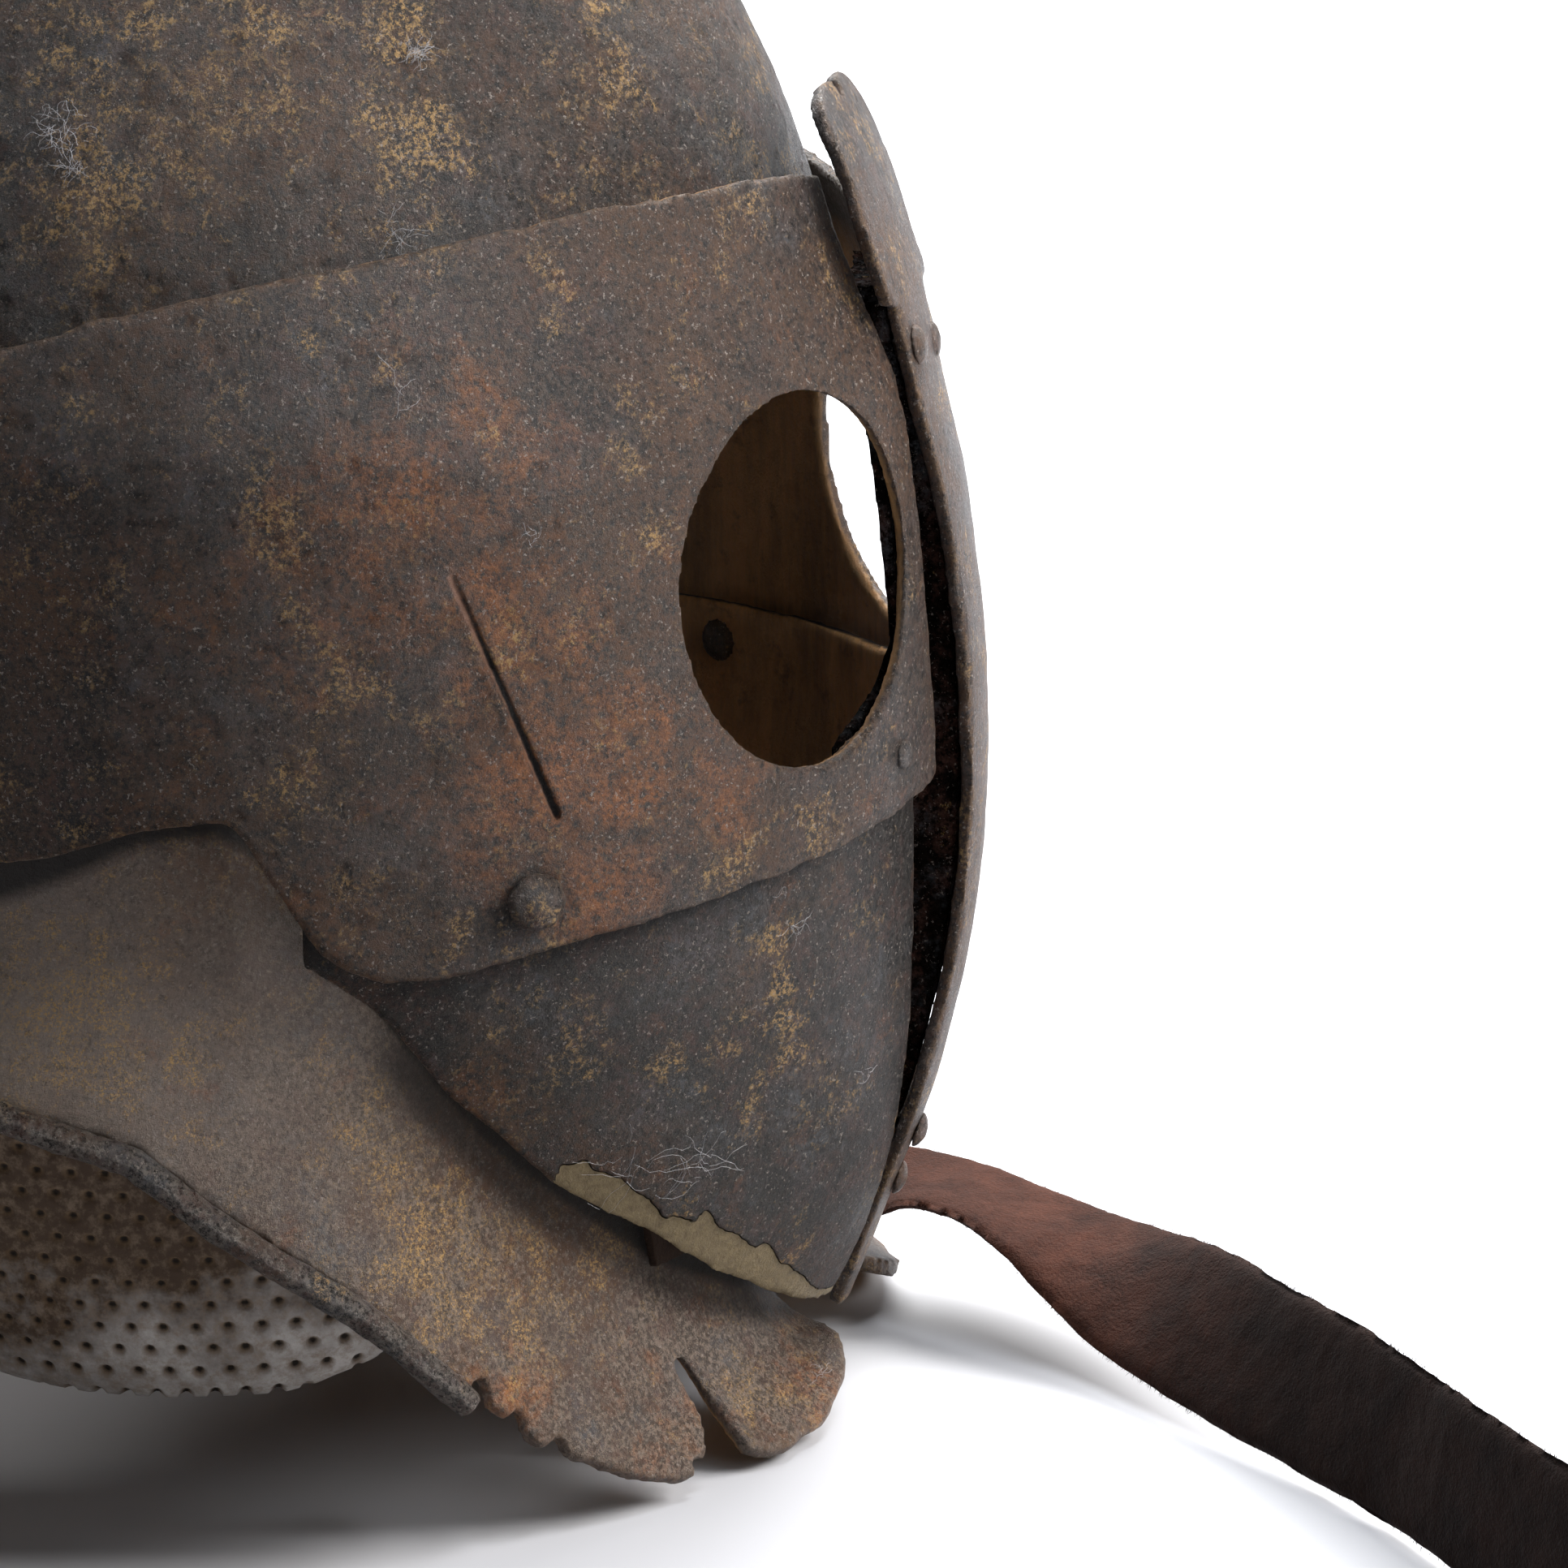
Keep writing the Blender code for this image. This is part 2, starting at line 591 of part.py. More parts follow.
def build_spacer(side, sign, bore):
    """Leather spacer: flat towards the moving plate, and shaped to the skull on its other face."""
    flat = 94.9 * MM
    outer = 7 * MM
    bm = bmesh.new()
    rings = []
    for radius, face in ((bore, "flat"), (outer, "flat"), (outer, "skull"), (bore, "skull")):
        ring = []
        for k in range(24):
            angle = 2 * math.pi * k / 24
            front = PIVOT_FRONT + radius * math.cos(angle)
            height = PIVOT_Z + radius * math.sin(angle)
            reach = flat if face == "flat" else skull_side(front, height) + TOUCH
            ring.append(bm.verts.new(place(front, sign * reach, height)))
        rings.append(ring)
    for low, high in zip(rings, rings[1:] + rings[:1]):
        for k in range(24):
            m = (k + 1) % 24
            bm.faces.new((low[k], low[m], high[m], high[k]))
    add_object(f"temple_spacer_{side}", finish_mesh("spacer", bm), "liner_leather")


def collar_turns():
    """Turns along the collar from one front edge round the back to the other."""
    half = spread(COLLAR_START, 57, 11) + spread(61, 125, 13) + spread(131, 180, 7)
    return half + [360 - turn for turn in reversed(half[:-1])]


def collar_edge(turn):
    """Drop at which the plate ends: short of the rim where the bead runs."""
    start = min(max((turn - BEAD_START + 2) / 2, 0), 1)
    end = min(max((BEAD_END + 2 - turn) / 2, 0), 1)
    return 1 - 0.09 * min(start, end)


def build_collar():
    """Flared collar, open in front, with a torn notch in its right front lobe."""
    lines = []
    for j in range(10):
        line = []
        for turn in collar_turns():
            near = folded(turn)
            front, side, up = collar_point(near, collar_edge(near) * j / 9)
            line.append(place(front, side if turn <= 180 else -side, up))
        lines.append(line)
    collar = add_object("collar", grid_mesh("collar", lines), "collar_iron")
    thicken(collar, COLLAR_THICK)
    cut(collar, notch_mesh())
    return collar


def notch_mesh():
    """Wedge that tears the right front lobe: a narrow top, widening to the lower edge."""
    top = collar_point(33, 0.62)
    left = collar_point(37.5, 1.03)
    right = collar_point(30.5, 1.03)
    low = -12 * MM
    bm = bmesh.new()
    rings = []
    for reach in (-16 * MM, 22 * MM):
        outward = place(reach * math.cos(math.radians(38)), -reach * math.sin(math.radians(38)), 0)
        corners = [place(top[0], -top[1], top[2]), place(right[0], -right[1], right[2] + 3 * MM),
                   place(right[0], -right[1], low), place(left[0], -left[1], low),
                   place(left[0], -left[1], left[2] + 4 * MM)]
        rings.append([bm.verts.new(corner + outward) for corner in corners])
    for k in range(5):
        m = (k + 1) % 5
        bm.faces.new((rings[0][k], rings[0][m], rings[1][m], rings[1][k]))
    bm.faces.new(rings[0])
    bm.faces.new(rings[1])
    return finish_mesh("torn_notch", bm)


def tube(name, points, radius, slot, resolution=2, closed=False):
    """Round bar along a list of points, with filled ends."""
    curve = bpy.data.curves.new(name, "CURVE")
    curve.dimensions = "3D"
    curve.bevel_depth = radius
    curve.bevel_resolution = resolution
    curve.use_fill_caps = True
    spline = curve.splines.new("POLY")
    spline.points.add(len(points) - 1)
    spline.use_cyclic_u = closed
    for knot, point in zip(spline.points, points):
        knot.co = (*point, 1)
    return add_object(name, curve, slot)


def build_beads():
    """Rolled bead along the collar's arch on each side."""
    for side, sign in SIDES:
        points = []
        for turn in spread(BEAD_START, BEAD_END, 24):
            front, aside, up = collar_point(turn, 1)
            points.append(place(front, sign * aside, up))
        tube(f"rim_bead_{side}", points, BEAD_RADIUS, "collar_iron", 2)


PAD_BOTTOM = millimetres([(50, 30), (57, 25), (66, 18), (78, 13), (90, 12.5), (100, 15), (112, 24), (125, 40)], 1)


def pad_section(turn, sign):
    """Outline of a neck pad across one turn: a cushion that fills the collar and hangs below its arch."""
    crest = CREST_WIDTH(turn)
    top = CREST_Z(turn) - 2 * MM
    waist = CREST_Z(turn) * 0.44 + RIM_Z(turn) * 0.56
    foot = PAD_BOTTOM(turn)
    outer = min(crest * 0.58 + COLLAR_HALF_WIDTH * 0.42 - 8 * MM, 92 * MM)
    outline = [(crest - 7 * MM, top), (outer, waist), (outer - MM, foot + (waist - foot) * 0.55),
               (outer - 5 * MM, foot + (waist - foot) * 0.22), (outer - 12 * MM, foot),
               (outer - 17 * MM, foot + 1.5 * MM), (outer - 20 * MM, foot + (waist - foot) * 0.3),
               (outer - 19 * MM, foot + (waist - foot) * 0.7), (crest - 18 * MM, waist + 3 * MM),
               (crest - 16 * MM, top - 1.5 * MM)]
    ring = []
    for half, up in outline:
        front, side = oval(half + 20 * MM, half + 17 * MM, half, turn)
        ring.append(place(front, sign * side, up))
    return ring


def build_neck_pads():
    """Padding of the neck: one cushion each side and one at the nape."""
    for side, sign in SIDES:
        sections = [pad_section(turn, sign) for turn in spread(51, 124, 18)]
        add_object(f"neck_pad_{side}", bar_mesh("neck_pad", sections), "pad_white")
    sections = []
    for turn in spread(130, 230, 18):
        near = folded(turn)
        sections.append(nape_section(near, 1 if turn <= 180 else -1))
    add_object("nape_pad", bar_mesh("nape_pad", sections), "pad_white")


def nape_section(turn, sign):
    """Outline of the nape cushion across one turn."""
    half_width = COLLAR_NECK_WIDTH - COLLAR_THICK
    half_back = COLLAR_NECK_BACK - COLLAR_THICK
    ring = []
    for inset, up in ((1.2, 104), (1.2, 80), (3, 55), (7, 44), (13, 45), (16, 60), (15, 85), (10, 103)):
        front, side = oval(half_back, half_back - inset * MM, half_width - inset * MM, turn)
        ring.append(place(front, sign * side, up * MM))
    return ring


def build_collar_rivets(skull, collar):
    """Rivets that join the collar's hidden band to the skull at the back."""
    for number, turn in enumerate((125, 152, 180, 208, 235), 1):
        near = folded(turn)
        sign = 1 if turn <= 180 else -1
        rivet_with_hole([skull, collar], f"collar_rivet_{number}", skull_wall_point, near, 109.5 * MM,
                        SKULL_THICK + COLLAR_THICK + 1.8 * MM, 3.2 * MM, sign, None)


def skull_wall_point(turn, height):
    """Point of the skull's outer face by height."""
    return skull_point(turn, skull_rise(height))


# Chin strap: centre line by hand, in mm as reach, reach to the wearer's left and height, with the strap's
# roll in degrees: 0 lies flat and 90 stands on its edge
STRAP_WIDTH = millimetres([(0, 20), (4, 21), (7, 27)], 1)
STRAP_THICK = 2.8 * MM
STRAP_ROUTE = [(91.4, 39.2, 42.5, 0), (92.4, 39.6, 38.5, 0), (93.8, 40.3, 34, 0), (96, 40.8, 29.2, 0),
               (99.6, 41, 25, 2), (104, 40.4, 21.2, 6), (108.5, 39.4, 18.8, 8), (113, 38.2, 18.2, 8),
               (118, 37, 18.8, 8), (125, 34, 19.4, 8),
               (132, 30, 19, 8), (138.5, 26, 18.2, 14), (145, 21, 17, 32), (152, 15, 15.6, 56),
               (159, 8, 14.6, 72), (167, -1.5, 14.1, 80), (176, -12, 14, 82), (185, -22.5, 14, 82),
               (194, -32.5, 14, 82), (203, -43, 14, 82), (212, -54, 14, 82), (220, -65.5, 14, 82),
               (228, -77, 14, 82), (236.5, -88.5, 14, 81), (245, -100, 14, 80), (253.5, -111, 14, 80),
               (262, -122, 14, 80)]


def strap_sections(route, width, thick, samples):
    """Flat bar sections along a route: one smooth curve through its points, turned by each point's roll."""
    channels = []
    for k in range(4):
        channels.append(smooth_curve([(i, point[k]) for i, point in enumerate(route)]))

    def at(step):
        return place(channels[0](step) * MM, channels[1](step) * MM, channels[2](step) * MM)

    sections = []
    for step in spread(0, len(route) - 1, samples):
        centre = at(step)
        ahead = (at(step + 0.05) - at(step - 0.05)).normalized()
        level = ahead.cross(Vector((0, 0, 1))).normalized()
        half = width(step) * 0.5
        rise = level.cross(ahead)
        roll = math.radians(channels[3](step))
        across = level * math.cos(roll) - rise * math.sin(roll)
        face = across.cross(ahead)
        sections.append([centre + across * half * a + face * thick * b
                         for a, b in ((-1, -0.5), (1, -0.5), (1, 0.5), (-1, 0.5))])
    return sections


def build_strap(collar):
    """Suede chin strap that comes out between the chin plates and the left lobe and lies along the floor."""
    sections = strap_sections(STRAP_ROUTE, STRAP_WIDTH, STRAP_THICK, 56)
    strap = add_object("chin_strap", bar_mesh("chin_strap", sections), "strap_suede")
    rivet_with_hole([strap, collar], "strap_rivet", collar_point, 32, 0.14, COLLAR_THICK + 6.2 * MM, 3 * MM, 1,
                    None, 5.8 * MM)


# Buckle, on the right side behind the chin plate: mm in the frame of its tab, across, outward and up
BUCKLE_TURN = 34
BUCKLE_DROP = 0.12
TAB_HALF_WIDTH = 9 * MM
TAB_INNER = 1.1 * MM
TAB_THICK = 1.8 * MM
TAB_FOOT = -6 * MM
BAR_UP = 22 * MM
BAR_OUT = 4.5 * MM
WIRE = 1.2 * MM
BUCKLE_HALF = 11 * MM
BUCKLE_LENGTH = 20 * MM


def buckle_axes():
    """Matrix of the tab's frame: across, outward from the collar, and up along it."""
    normal = normal_of(collar_point, BUCKLE_TURN, BUCKLE_DROP)
    origin = place(*collar_point(BUCKLE_TURN, BUCKLE_DROP))
    normal.x *= -1
    origin.x *= -1
    up = (Vector((0, 0, 1)) - normal * normal.z).normalized()
    matrix = Matrix((normal.cross(up), normal, up)).transposed().to_4x4()
    matrix.translation = origin
    return matrix


def prism(name, outline, half_width, matrix):
    """Prism across the tab's frame from an outline of (outward, up) points."""
    bm = bmesh.new()
    rings = [[bm.verts.new(matrix @ Vector((x, y, z))) for y, z in outline] for x in (-half_width, half_width)]
    for k in range(len(outline)):
        m = (k + 1) % len(outline)
        bm.faces.new((rings[0][k], rings[0][m], rings[1][m], rings[1][k]))
    bm.faces.new(rings[0])
    bm.faces.new(rings[1])
    return finish_mesh(name, bm)


def arc(radius, first, last, count):
    """Points of an arc about the buckle's bar, by angles in degrees from outward towards up."""
    points = []
    for angle in spread(first, last, count):
        turn = math.radians(angle)
        points.append((BAR_OUT + radius * math.cos(turn), BAR_UP + radius * math.sin(turn)))
    return points


def build_buckle(collar):
    """Leather tab riveted to the collar, looped round the bar of a wire buckle with its prong."""
    matrix = buckle_axes()
    across = matrix.col[0].to_3d()
    bar = matrix @ Vector((0, BAR_OUT, BAR_UP))
    outer = BAR_OUT - TAB_INNER
    outline = [(TAB_INNER, TAB_FOOT)] + arc(outer, 180, -70, 12)
    outline += arc(outer - TAB_THICK, -70, 180, 12) + [(TAB_INNER + TAB_THICK, TAB_FOOT)]
    tab = add_object("buckle_tab", prism("buckle_tab", outline, TAB_HALF_WIDTH, matrix), "liner_leather")
    slot = [(-MM, 16 * MM), (12 * MM, 16 * MM), (12 * MM, 28 * MM), (-MM, 28 * MM)]
    cut(tab, prism("prong_slot", slot, 2.2 * MM, matrix))
    build_buckle_frame(matrix)
    build_prong(matrix, across, bar)
    head_out = TAB_INNER + TAB_THICK + TOUCH
    normal = matrix.col[1].to_3d()
    seat = matrix @ Vector((0, head_out, 0))
    rivet("buckle_rivet", seat, normal, head_out + COLLAR_THICK + 1.2 * MM, 3 * MM)
    for plate in (tab, collar):
        cut(plate, cylinder_mesh("buckle_rivet_hole", 1.5 * MM + TOUCH, 24 * MM, normal, seat, 14))


def build_buckle_frame(matrix):
    """Rectangular wire loop with rounded corners, its lower side in the tab."""
    points = []
    corner = 2.5 * MM
    centres = ((1, corner, -90), (1, BUCKLE_LENGTH - corner, 0), (-1, BUCKLE_LENGTH - corner, 90),
               (-1, corner, 180))
    for sign, up, first in centres:
        for angle in spread(first, first + 90, 3):
            turn = math.radians(angle)
            x = sign * (BUCKLE_HALF - corner) + corner * math.cos(turn)
            points.append(matrix @ Vector((x, BAR_OUT, BAR_UP + up + corner * math.sin(turn))))
    tube("buckle_frame", points, WIRE, "buckle_brass", 1, True)


def build_prong(matrix, across, bar):
    """Prong: an eye round the buckle's bar, and a flat arm that rests on the far side of the frame."""
    axis = bpy.data.objects.new("prong_axis", None)
    bpy.context.scene.collection.objects.link(axis)
    axis.location = bar
    bpy.context.view_layer.update()
    eye = cylinder_mesh("buckle_prong", 2.9 * MM, 3.6 * MM, across, bar, 20)
    prong = add_object("buckle_prong", eye, "buckle_brass", axis)
    low = BAR_OUT + WIRE + TOUCH
    arm = [(low, BAR_UP), (low + 1.5 * MM, BAR_UP), (low + 1.5 * MM, BAR_UP + BUCKLE_LENGTH + 1.8 * MM),
           (low, BAR_UP + BUCKLE_LENGTH + 1.8 * MM)]
    join(prong, prism("prong_arm", arm, 1.2 * MM, matrix))
    cut(prong, cylinder_mesh("prong_bore", WIRE + HINGE_GAP, 20 * MM, across, bar, 20))


def main():
    """Build the helmet."""
    clear_scene()
    hinge = bpy.data.objects.new("temple_axis", None)
    bpy.context.scene.collection.objects.link(hinge)
    hinge.location = place(PIVOT_FRONT, 0, PIVOT_Z)
    bpy.context.view_layer.update()
    skull = build_skull()
    build_liner()
    guard = build_guard_plates(hinge)
    chin = build_chin_plates(hinge)
    strip = build_strip(hinge)
    keel = build_keel(hinge)
    build_guard_rivets(hinge, guard, chin, strip, keel)
    build_temple_hinges(skull, guard, hinge)
    collar = build_collar()
    build_beads()
    build_neck_pads()
    build_collar_rivets(skull, collar)
    build_strap(collar)
    build_buckle(collar)


main()
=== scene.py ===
"""Looks of the knight's helmet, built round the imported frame.

World frame: metres, +Z up, the helmet faces -Y and the wearer's right side is -X. A place on an oval section
is given by its turn in degrees: 0 at the front, 90 at the side and 180 at the back.
"""
import json
import math

import bpy
import numpy as np
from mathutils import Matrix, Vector
from mathutils.kdtree import KDTree

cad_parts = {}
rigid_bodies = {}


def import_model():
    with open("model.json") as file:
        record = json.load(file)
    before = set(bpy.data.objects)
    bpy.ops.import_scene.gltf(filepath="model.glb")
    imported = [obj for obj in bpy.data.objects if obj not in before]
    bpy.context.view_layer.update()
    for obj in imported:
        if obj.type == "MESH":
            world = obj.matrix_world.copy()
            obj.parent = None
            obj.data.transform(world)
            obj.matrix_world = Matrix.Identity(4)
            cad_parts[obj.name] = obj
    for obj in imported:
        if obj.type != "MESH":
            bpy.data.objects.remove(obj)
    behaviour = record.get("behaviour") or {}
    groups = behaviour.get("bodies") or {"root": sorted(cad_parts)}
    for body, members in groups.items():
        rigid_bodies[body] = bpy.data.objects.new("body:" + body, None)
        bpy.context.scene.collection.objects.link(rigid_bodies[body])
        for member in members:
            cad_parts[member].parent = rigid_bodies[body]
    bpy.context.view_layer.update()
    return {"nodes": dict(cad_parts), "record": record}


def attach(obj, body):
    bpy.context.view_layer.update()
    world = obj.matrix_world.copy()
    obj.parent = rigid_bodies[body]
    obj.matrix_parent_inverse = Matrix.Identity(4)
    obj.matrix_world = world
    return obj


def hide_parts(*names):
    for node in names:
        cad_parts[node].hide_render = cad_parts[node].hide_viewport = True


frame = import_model()
MM = 0.001
UP = Vector((0, 0, 1))


# ---------------------------------------------------------------- camera, floor and light

def add_camera():
    """Camera at the photograph's viewing angle."""
    data = bpy.data.cameras.new("camera")
    data.sensor_width = 36
    data.lens = 128.3
    camera = bpy.data.objects.new("camera", data)
    camera.location = (-0.8956, -0.2661, 0.3733)
    aim = Vector((0, -0.1001, 0.1035)) - camera.location
    camera.rotation_euler = aim.to_track_quat("-Z", "Y").to_euler()
    bpy.context.scene.collection.objects.link(camera)
    bpy.context.scene.camera = camera


def add_area(name, spot, aim, size, power, colour=(1, 1, 1)):
    """Square soft light."""
    data = bpy.data.lights.new(name, "AREA")
    data.size = size
    data.energy = power
    data.color = colour
    light = bpy.data.objects.new(name, data)
    light.location = spot
    light.rotation_euler = (Vector(aim) - Vector(spot)).to_track_quat("-Z", "Y").to_euler()
    bpy.context.scene.collection.objects.link(light)


def add_studio():
    """Pale floor, a key light in front of the helmet, and lights above it, at its side and far behind it."""
    world = bpy.data.worlds.new("world")
    world.use_nodes = True
    background = world.node_tree.nodes["Background"]
    background.inputs["Color"].default_value = (0.95, 0.96, 1, 1)
    background.inputs["Strength"].default_value = 0.055
    bpy.context.scene.world = world
    bpy.context.scene.view_settings.view_transform = "Standard"
    add_area("key", (0.32, -1.15, 0.85), (0, -0.1, 0.1), 0.75, 40, (1, 0.975, 0.95))
    add_area("top", (0.15, -0.2, 1.4), (0, -0.1, 0.1), 0.6, 19, (0.95, 0.97, 1))
    add_area("side", (-0.8, -1.0, 0.7), (0, -0.1, 0.15), 0.5, 1.6, (1, 0.97, 0.93))
    add_area("far", (2.1, 0.3, 1.5), (2.1, 0.3, 0), 2.2, 260)
    mesh = bpy.data.meshes.new("floor")
    reach = 6
    mesh.from_pydata([(-reach, -reach, 0), (reach, -reach, 0), (reach, reach, 0), (-reach, reach, 0)], [],
                     [(0, 1, 2, 3)])
    floor = bpy.data.objects.new("floor", mesh)
    floor.location.z = -0.0005
    bpy.context.scene.collection.objects.link(floor)
    paint = bpy.data.materials.new("floor_white")
    paint.use_nodes = True
    shader = paint.node_tree.nodes["Principled BSDF"]
    shader.inputs["Base Color"].default_value = (0.47, 0.475, 0.50, 1)
    shader.inputs["Roughness"].default_value = 0.6
    mesh.materials.append(paint)


add_camera()
add_studio()


# ---------------------------------------------------------------- curves, ovals and profiles

def place(front, side, up):
    """World point from a reach forward, a reach to the wearer's left and a height."""
    return Vector((side, -front, up))


def right(front, side, up):
    """World place, in metres, from millimetres forward, to the wearer's right and up."""
    return (-side * MM, -front * MM, up * MM)


def smooth_curve(points):
    """Function through (x, y) points in rising x, without overshoot; it stays level beyond its ends."""
    xs = [p[0] for p in points]
    ys = [p[1] for p in points]
    steps = [xs[i + 1] - xs[i] for i in range(len(xs) - 1)]
    slopes = [(ys[i + 1] - ys[i]) / steps[i] for i in range(len(steps))]
    tangents = [slopes[0]]
    for before, after in zip(slopes, slopes[1:]):
        if before * after <= 0:
            tangents.append(0.0)
        else:
            tangents.append(2 * before * after / (before + after))
    tangents.append(slopes[-1])

    def value(x):
        if x <= xs[0]:
            return ys[0]
        if x >= xs[-1]:
            return ys[-1]
        i = max(k for k in range(len(steps)) if xs[k] <= x)
        t = (x - xs[i]) / steps[i]
        rise = (2 * t ** 3 - 3 * t ** 2 + 1) * ys[i] + (3 * t ** 2 - 2 * t ** 3) * ys[i + 1]
        bend = (t ** 3 - 2 * t ** 2 + t) * tangents[i] + (t ** 3 - t ** 2) * tangents[i + 1]
        return rise + steps[i] * bend

    return value


def millimetres(points, x_scale=MM):
    """The same curve with its values, and as a rule its places too, changed from millimetres to metres."""
    return smooth_curve([(x * x_scale, y * MM) for x, y in points])


def folded(turn):
    """The same turn counted from 0 to 180 on either side."""
    return turn if turn <= 180 else 360 - turn


def oval(front, back, half_width, turn):
    """Reach forward and reach aside of an oval section at a turn in degrees."""
    angle = math.radians(turn)
    reach = front if math.cos(angle) > 0 else back
    return reach * math.cos(angle), half_width * math.sin(angle)


SKULL = {"front": 111.5 * MM, "back": 118 * MM, "half": 96 * MM, "widest": 150 * MM, "dome": 148 * MM}
PLATE = 2.4 * MM
GUARD_BACK = 150 * MM
EYE = {"front": 110.5 * MM, "side": 43.5 * MM, "z": 151 * MM, "half": 27 * MM, "high": 30 * MM, "turn": 32}
COLLAR = {"front": 122 * MM, "back": 134.8 * MM, "half": 110 * MM, "thick": 3.0 * MM,
          "neck": 93.0 * MM, "neck_back": 115.0 * MM}
EYE_POINTS = 120
STATIONS = (0.0, 0.25, 0.68, 1.0)

GUARD_REACH = millimetres([(94, 128.6), (112, 129.4), (132, 128.4), (146, 127.1), (160, 125.5), (175, 122.9),
                           (188, 117.6), (201, 112.2), (214, 107.6)])
GUARD_WIDTH = millimetres([(94, 102), (175, 102), (195, 99), (214, 93.5)])
CHIN_REACH = millimetres([(14, 110.8), (35, 119.4), (53, 123.4), (75, 125.4), (97, 125.8), (126, 125.4)])
CHIN_WIDTH = millimetres([(14, 76), (36, 82), (53, 87), (72, 92), (90, 97.5), (100, 99), (126, 99)])
SKULL_EDGE = millimetres([(0, 198), (38, 197), (52, 176), (64, 132), (72, 125), (98, 124), (110, 108),
                          (140, 104), (180, 102)], 1)
GUARD_TOP = millimetres([(7, 210.5), (17, 213), (36, 213.5), (50, 211.5), (66, 207), (75, 204), (84, 200),
                         (92, 195), (104, 191), (107.3, 188.2), (109.6, 182.5), (110.6, 176)], 1)
GUARD_SEAM = millimetres([(7, 110), (24, 106), (40, 102.5), (52, 99), (64, 95), (69, 99), (73, 111),
                          (76.5, 122), (81, 121), (87, 117), (92, 114.5), (95, 115.5), (99, 123), (102, 139),
                          (104.5, 154.8), (107.3, 157.8), (109.6, 163.5), (110.6, 170)], 1)
CHIN_TOP = millimetres([(7, 125), (18, 122), (28, 116), (60, 114), (72, 109)], 1)
CHIN_EDGE = millimetres([(7, 14.5), (15, 17.5), (35, 32.5), (44, 43.5), (51.5, 53), (57.5, 65.5), (61, 73),
                         (66, 89), (72, 99)], 1)
CREST_Z = millimetres([(10, 15), (25, 26), (35, 35), (44, 47), (51, 57), (57, 69), (61, 79), (66, 95),
                       (71, 108), (76, 117), (82, 115.5), (88, 110), (95, 105), (105, 102), (120, 98),
                       (180, 92)], 1)
CREST_WIDTH = millimetres([(10, 68), (35, 74.5), (51, 80), (61, 87), (66, 91.5), (71, 93.5), (78, 96),
                           (98, 95.5), (110, 93), (180, 93)], 1)
CREST_REACH = millimetres([(10, 103), (35, 108.5), (51, 115), (66, 121), (180, 121)], 1)
RING_RISE = millimetres([(10, 12), (66, 10), (76, 6), (84, 8), (92, 16), (98, 20), (104, 19), (110, 15),
                         (180, 16)], 1)
RIM_Z = millimetres([(10, 11.5), (13, 8), (17, 5), (22, 2.9), (28, 2.2), (37, 3.2), (50, 13), (57, 25),
                     (64, 40), (71, 51), (77, 60), (82, 69), (88, 73), (97, 78.5), (104, 79), (112, 74),
                     (122, 58), (134, 33), (148, 9), (160, 2.8), (166, 2.2), (180, 5)], 1)
STRIP_REACH = millimetres([(11, 111.6), (33, 119.6), (51, 126.2), (60, 128.5), (75, 131.8), (97, 134.4),
                           (110, 134.8), (120, 134.5), (133, 133.6), (146, 132), (159, 129.8),
                           (168, 127.4), (185, 123.4), (192, 121.6), (200, 118.8), (212, 114.2),
                           (222, 108.8), (229, 104.4)])
STRIP_HALF = millimetres([(11, 5.5), (25, 8), (60, 8.6), (100, 9), (130, 9.6), (150, 10.6), (189, 13)])
TAB_TOP = 225 * MM
TAB_HALF = millimetres([(189, 17), (205, 17.5), (216, 17), (220.5, 15.5), (223.6, 12), (225, 8)])
TAB_STEP = 189.5 * MM


def guard_point(turn, height):
    """Point of the upper plates' outer face."""
    front, side = oval(GUARD_REACH(height), GUARD_BACK, GUARD_WIDTH(height), turn)
    return front, side, height


def chin_point(turn, height):
    """Point of the lower plates' outer face."""
    front, side = oval(CHIN_REACH(height), GUARD_BACK, CHIN_WIDTH(height), turn)
    return front, side, height


def skull_rise(height):
    """The rise at which the skull's face passes a height: 0 at the widest height and 1 at the top."""
    if height < SKULL["widest"]:
        return (height - SKULL["widest"]) / SKULL["dome"]
    return math.asin((height - SKULL["widest"]) / SKULL["dome"]) * 2 / math.pi


def skull_point(turn, rise):
    """Point of the skull's outer face."""
    height = SKULL["widest"] + SKULL["dome"] * (rise if rise < 0 else math.sin(rise * math.pi / 2))
    narrowing = 1.0 if rise < 0 else math.cos(rise * math.pi / 2)
    front, side = oval(SKULL["front"], SKULL["back"], SKULL["half"], turn)
    return front * narrowing, side * narrowing, height


def collar_point(turn, drop):
    """Point of the collar's outer face: drop runs from 0 at the hidden upper ring to 1 at the rim."""
    crest_z = CREST_Z(turn)
    crest = oval(CREST_REACH(turn), COLLAR["neck_back"], CREST_WIDTH(turn), turn) + (crest_z,)
    ring_width = min(CREST_WIDTH(turn) - 1 * MM, COLLAR["neck"])
    ring = oval(CREST_REACH(turn) - 3 * MM, COLLAR["neck_back"], ring_width, turn)
    ring += (crest_z + RING_RISE(turn),)
    rim = oval(COLLAR["front"], COLLAR["back"], COLLAR["half"], turn) + (RIM_Z(turn),)
    belly = [crest[k] * 0.58 + rim[k] * 0.42 for k in (0, 1)] + [crest_z * 0.44 + rim[2] * 0.56]
    values = []
    for k in range(3):
        values.append(smooth_curve(list(zip(STATIONS, (ring[k], crest[k], belly[k], rim[k]))))(drop))
    return tuple(values)


# ---------------------------------------------------------------- noise and mesh helpers

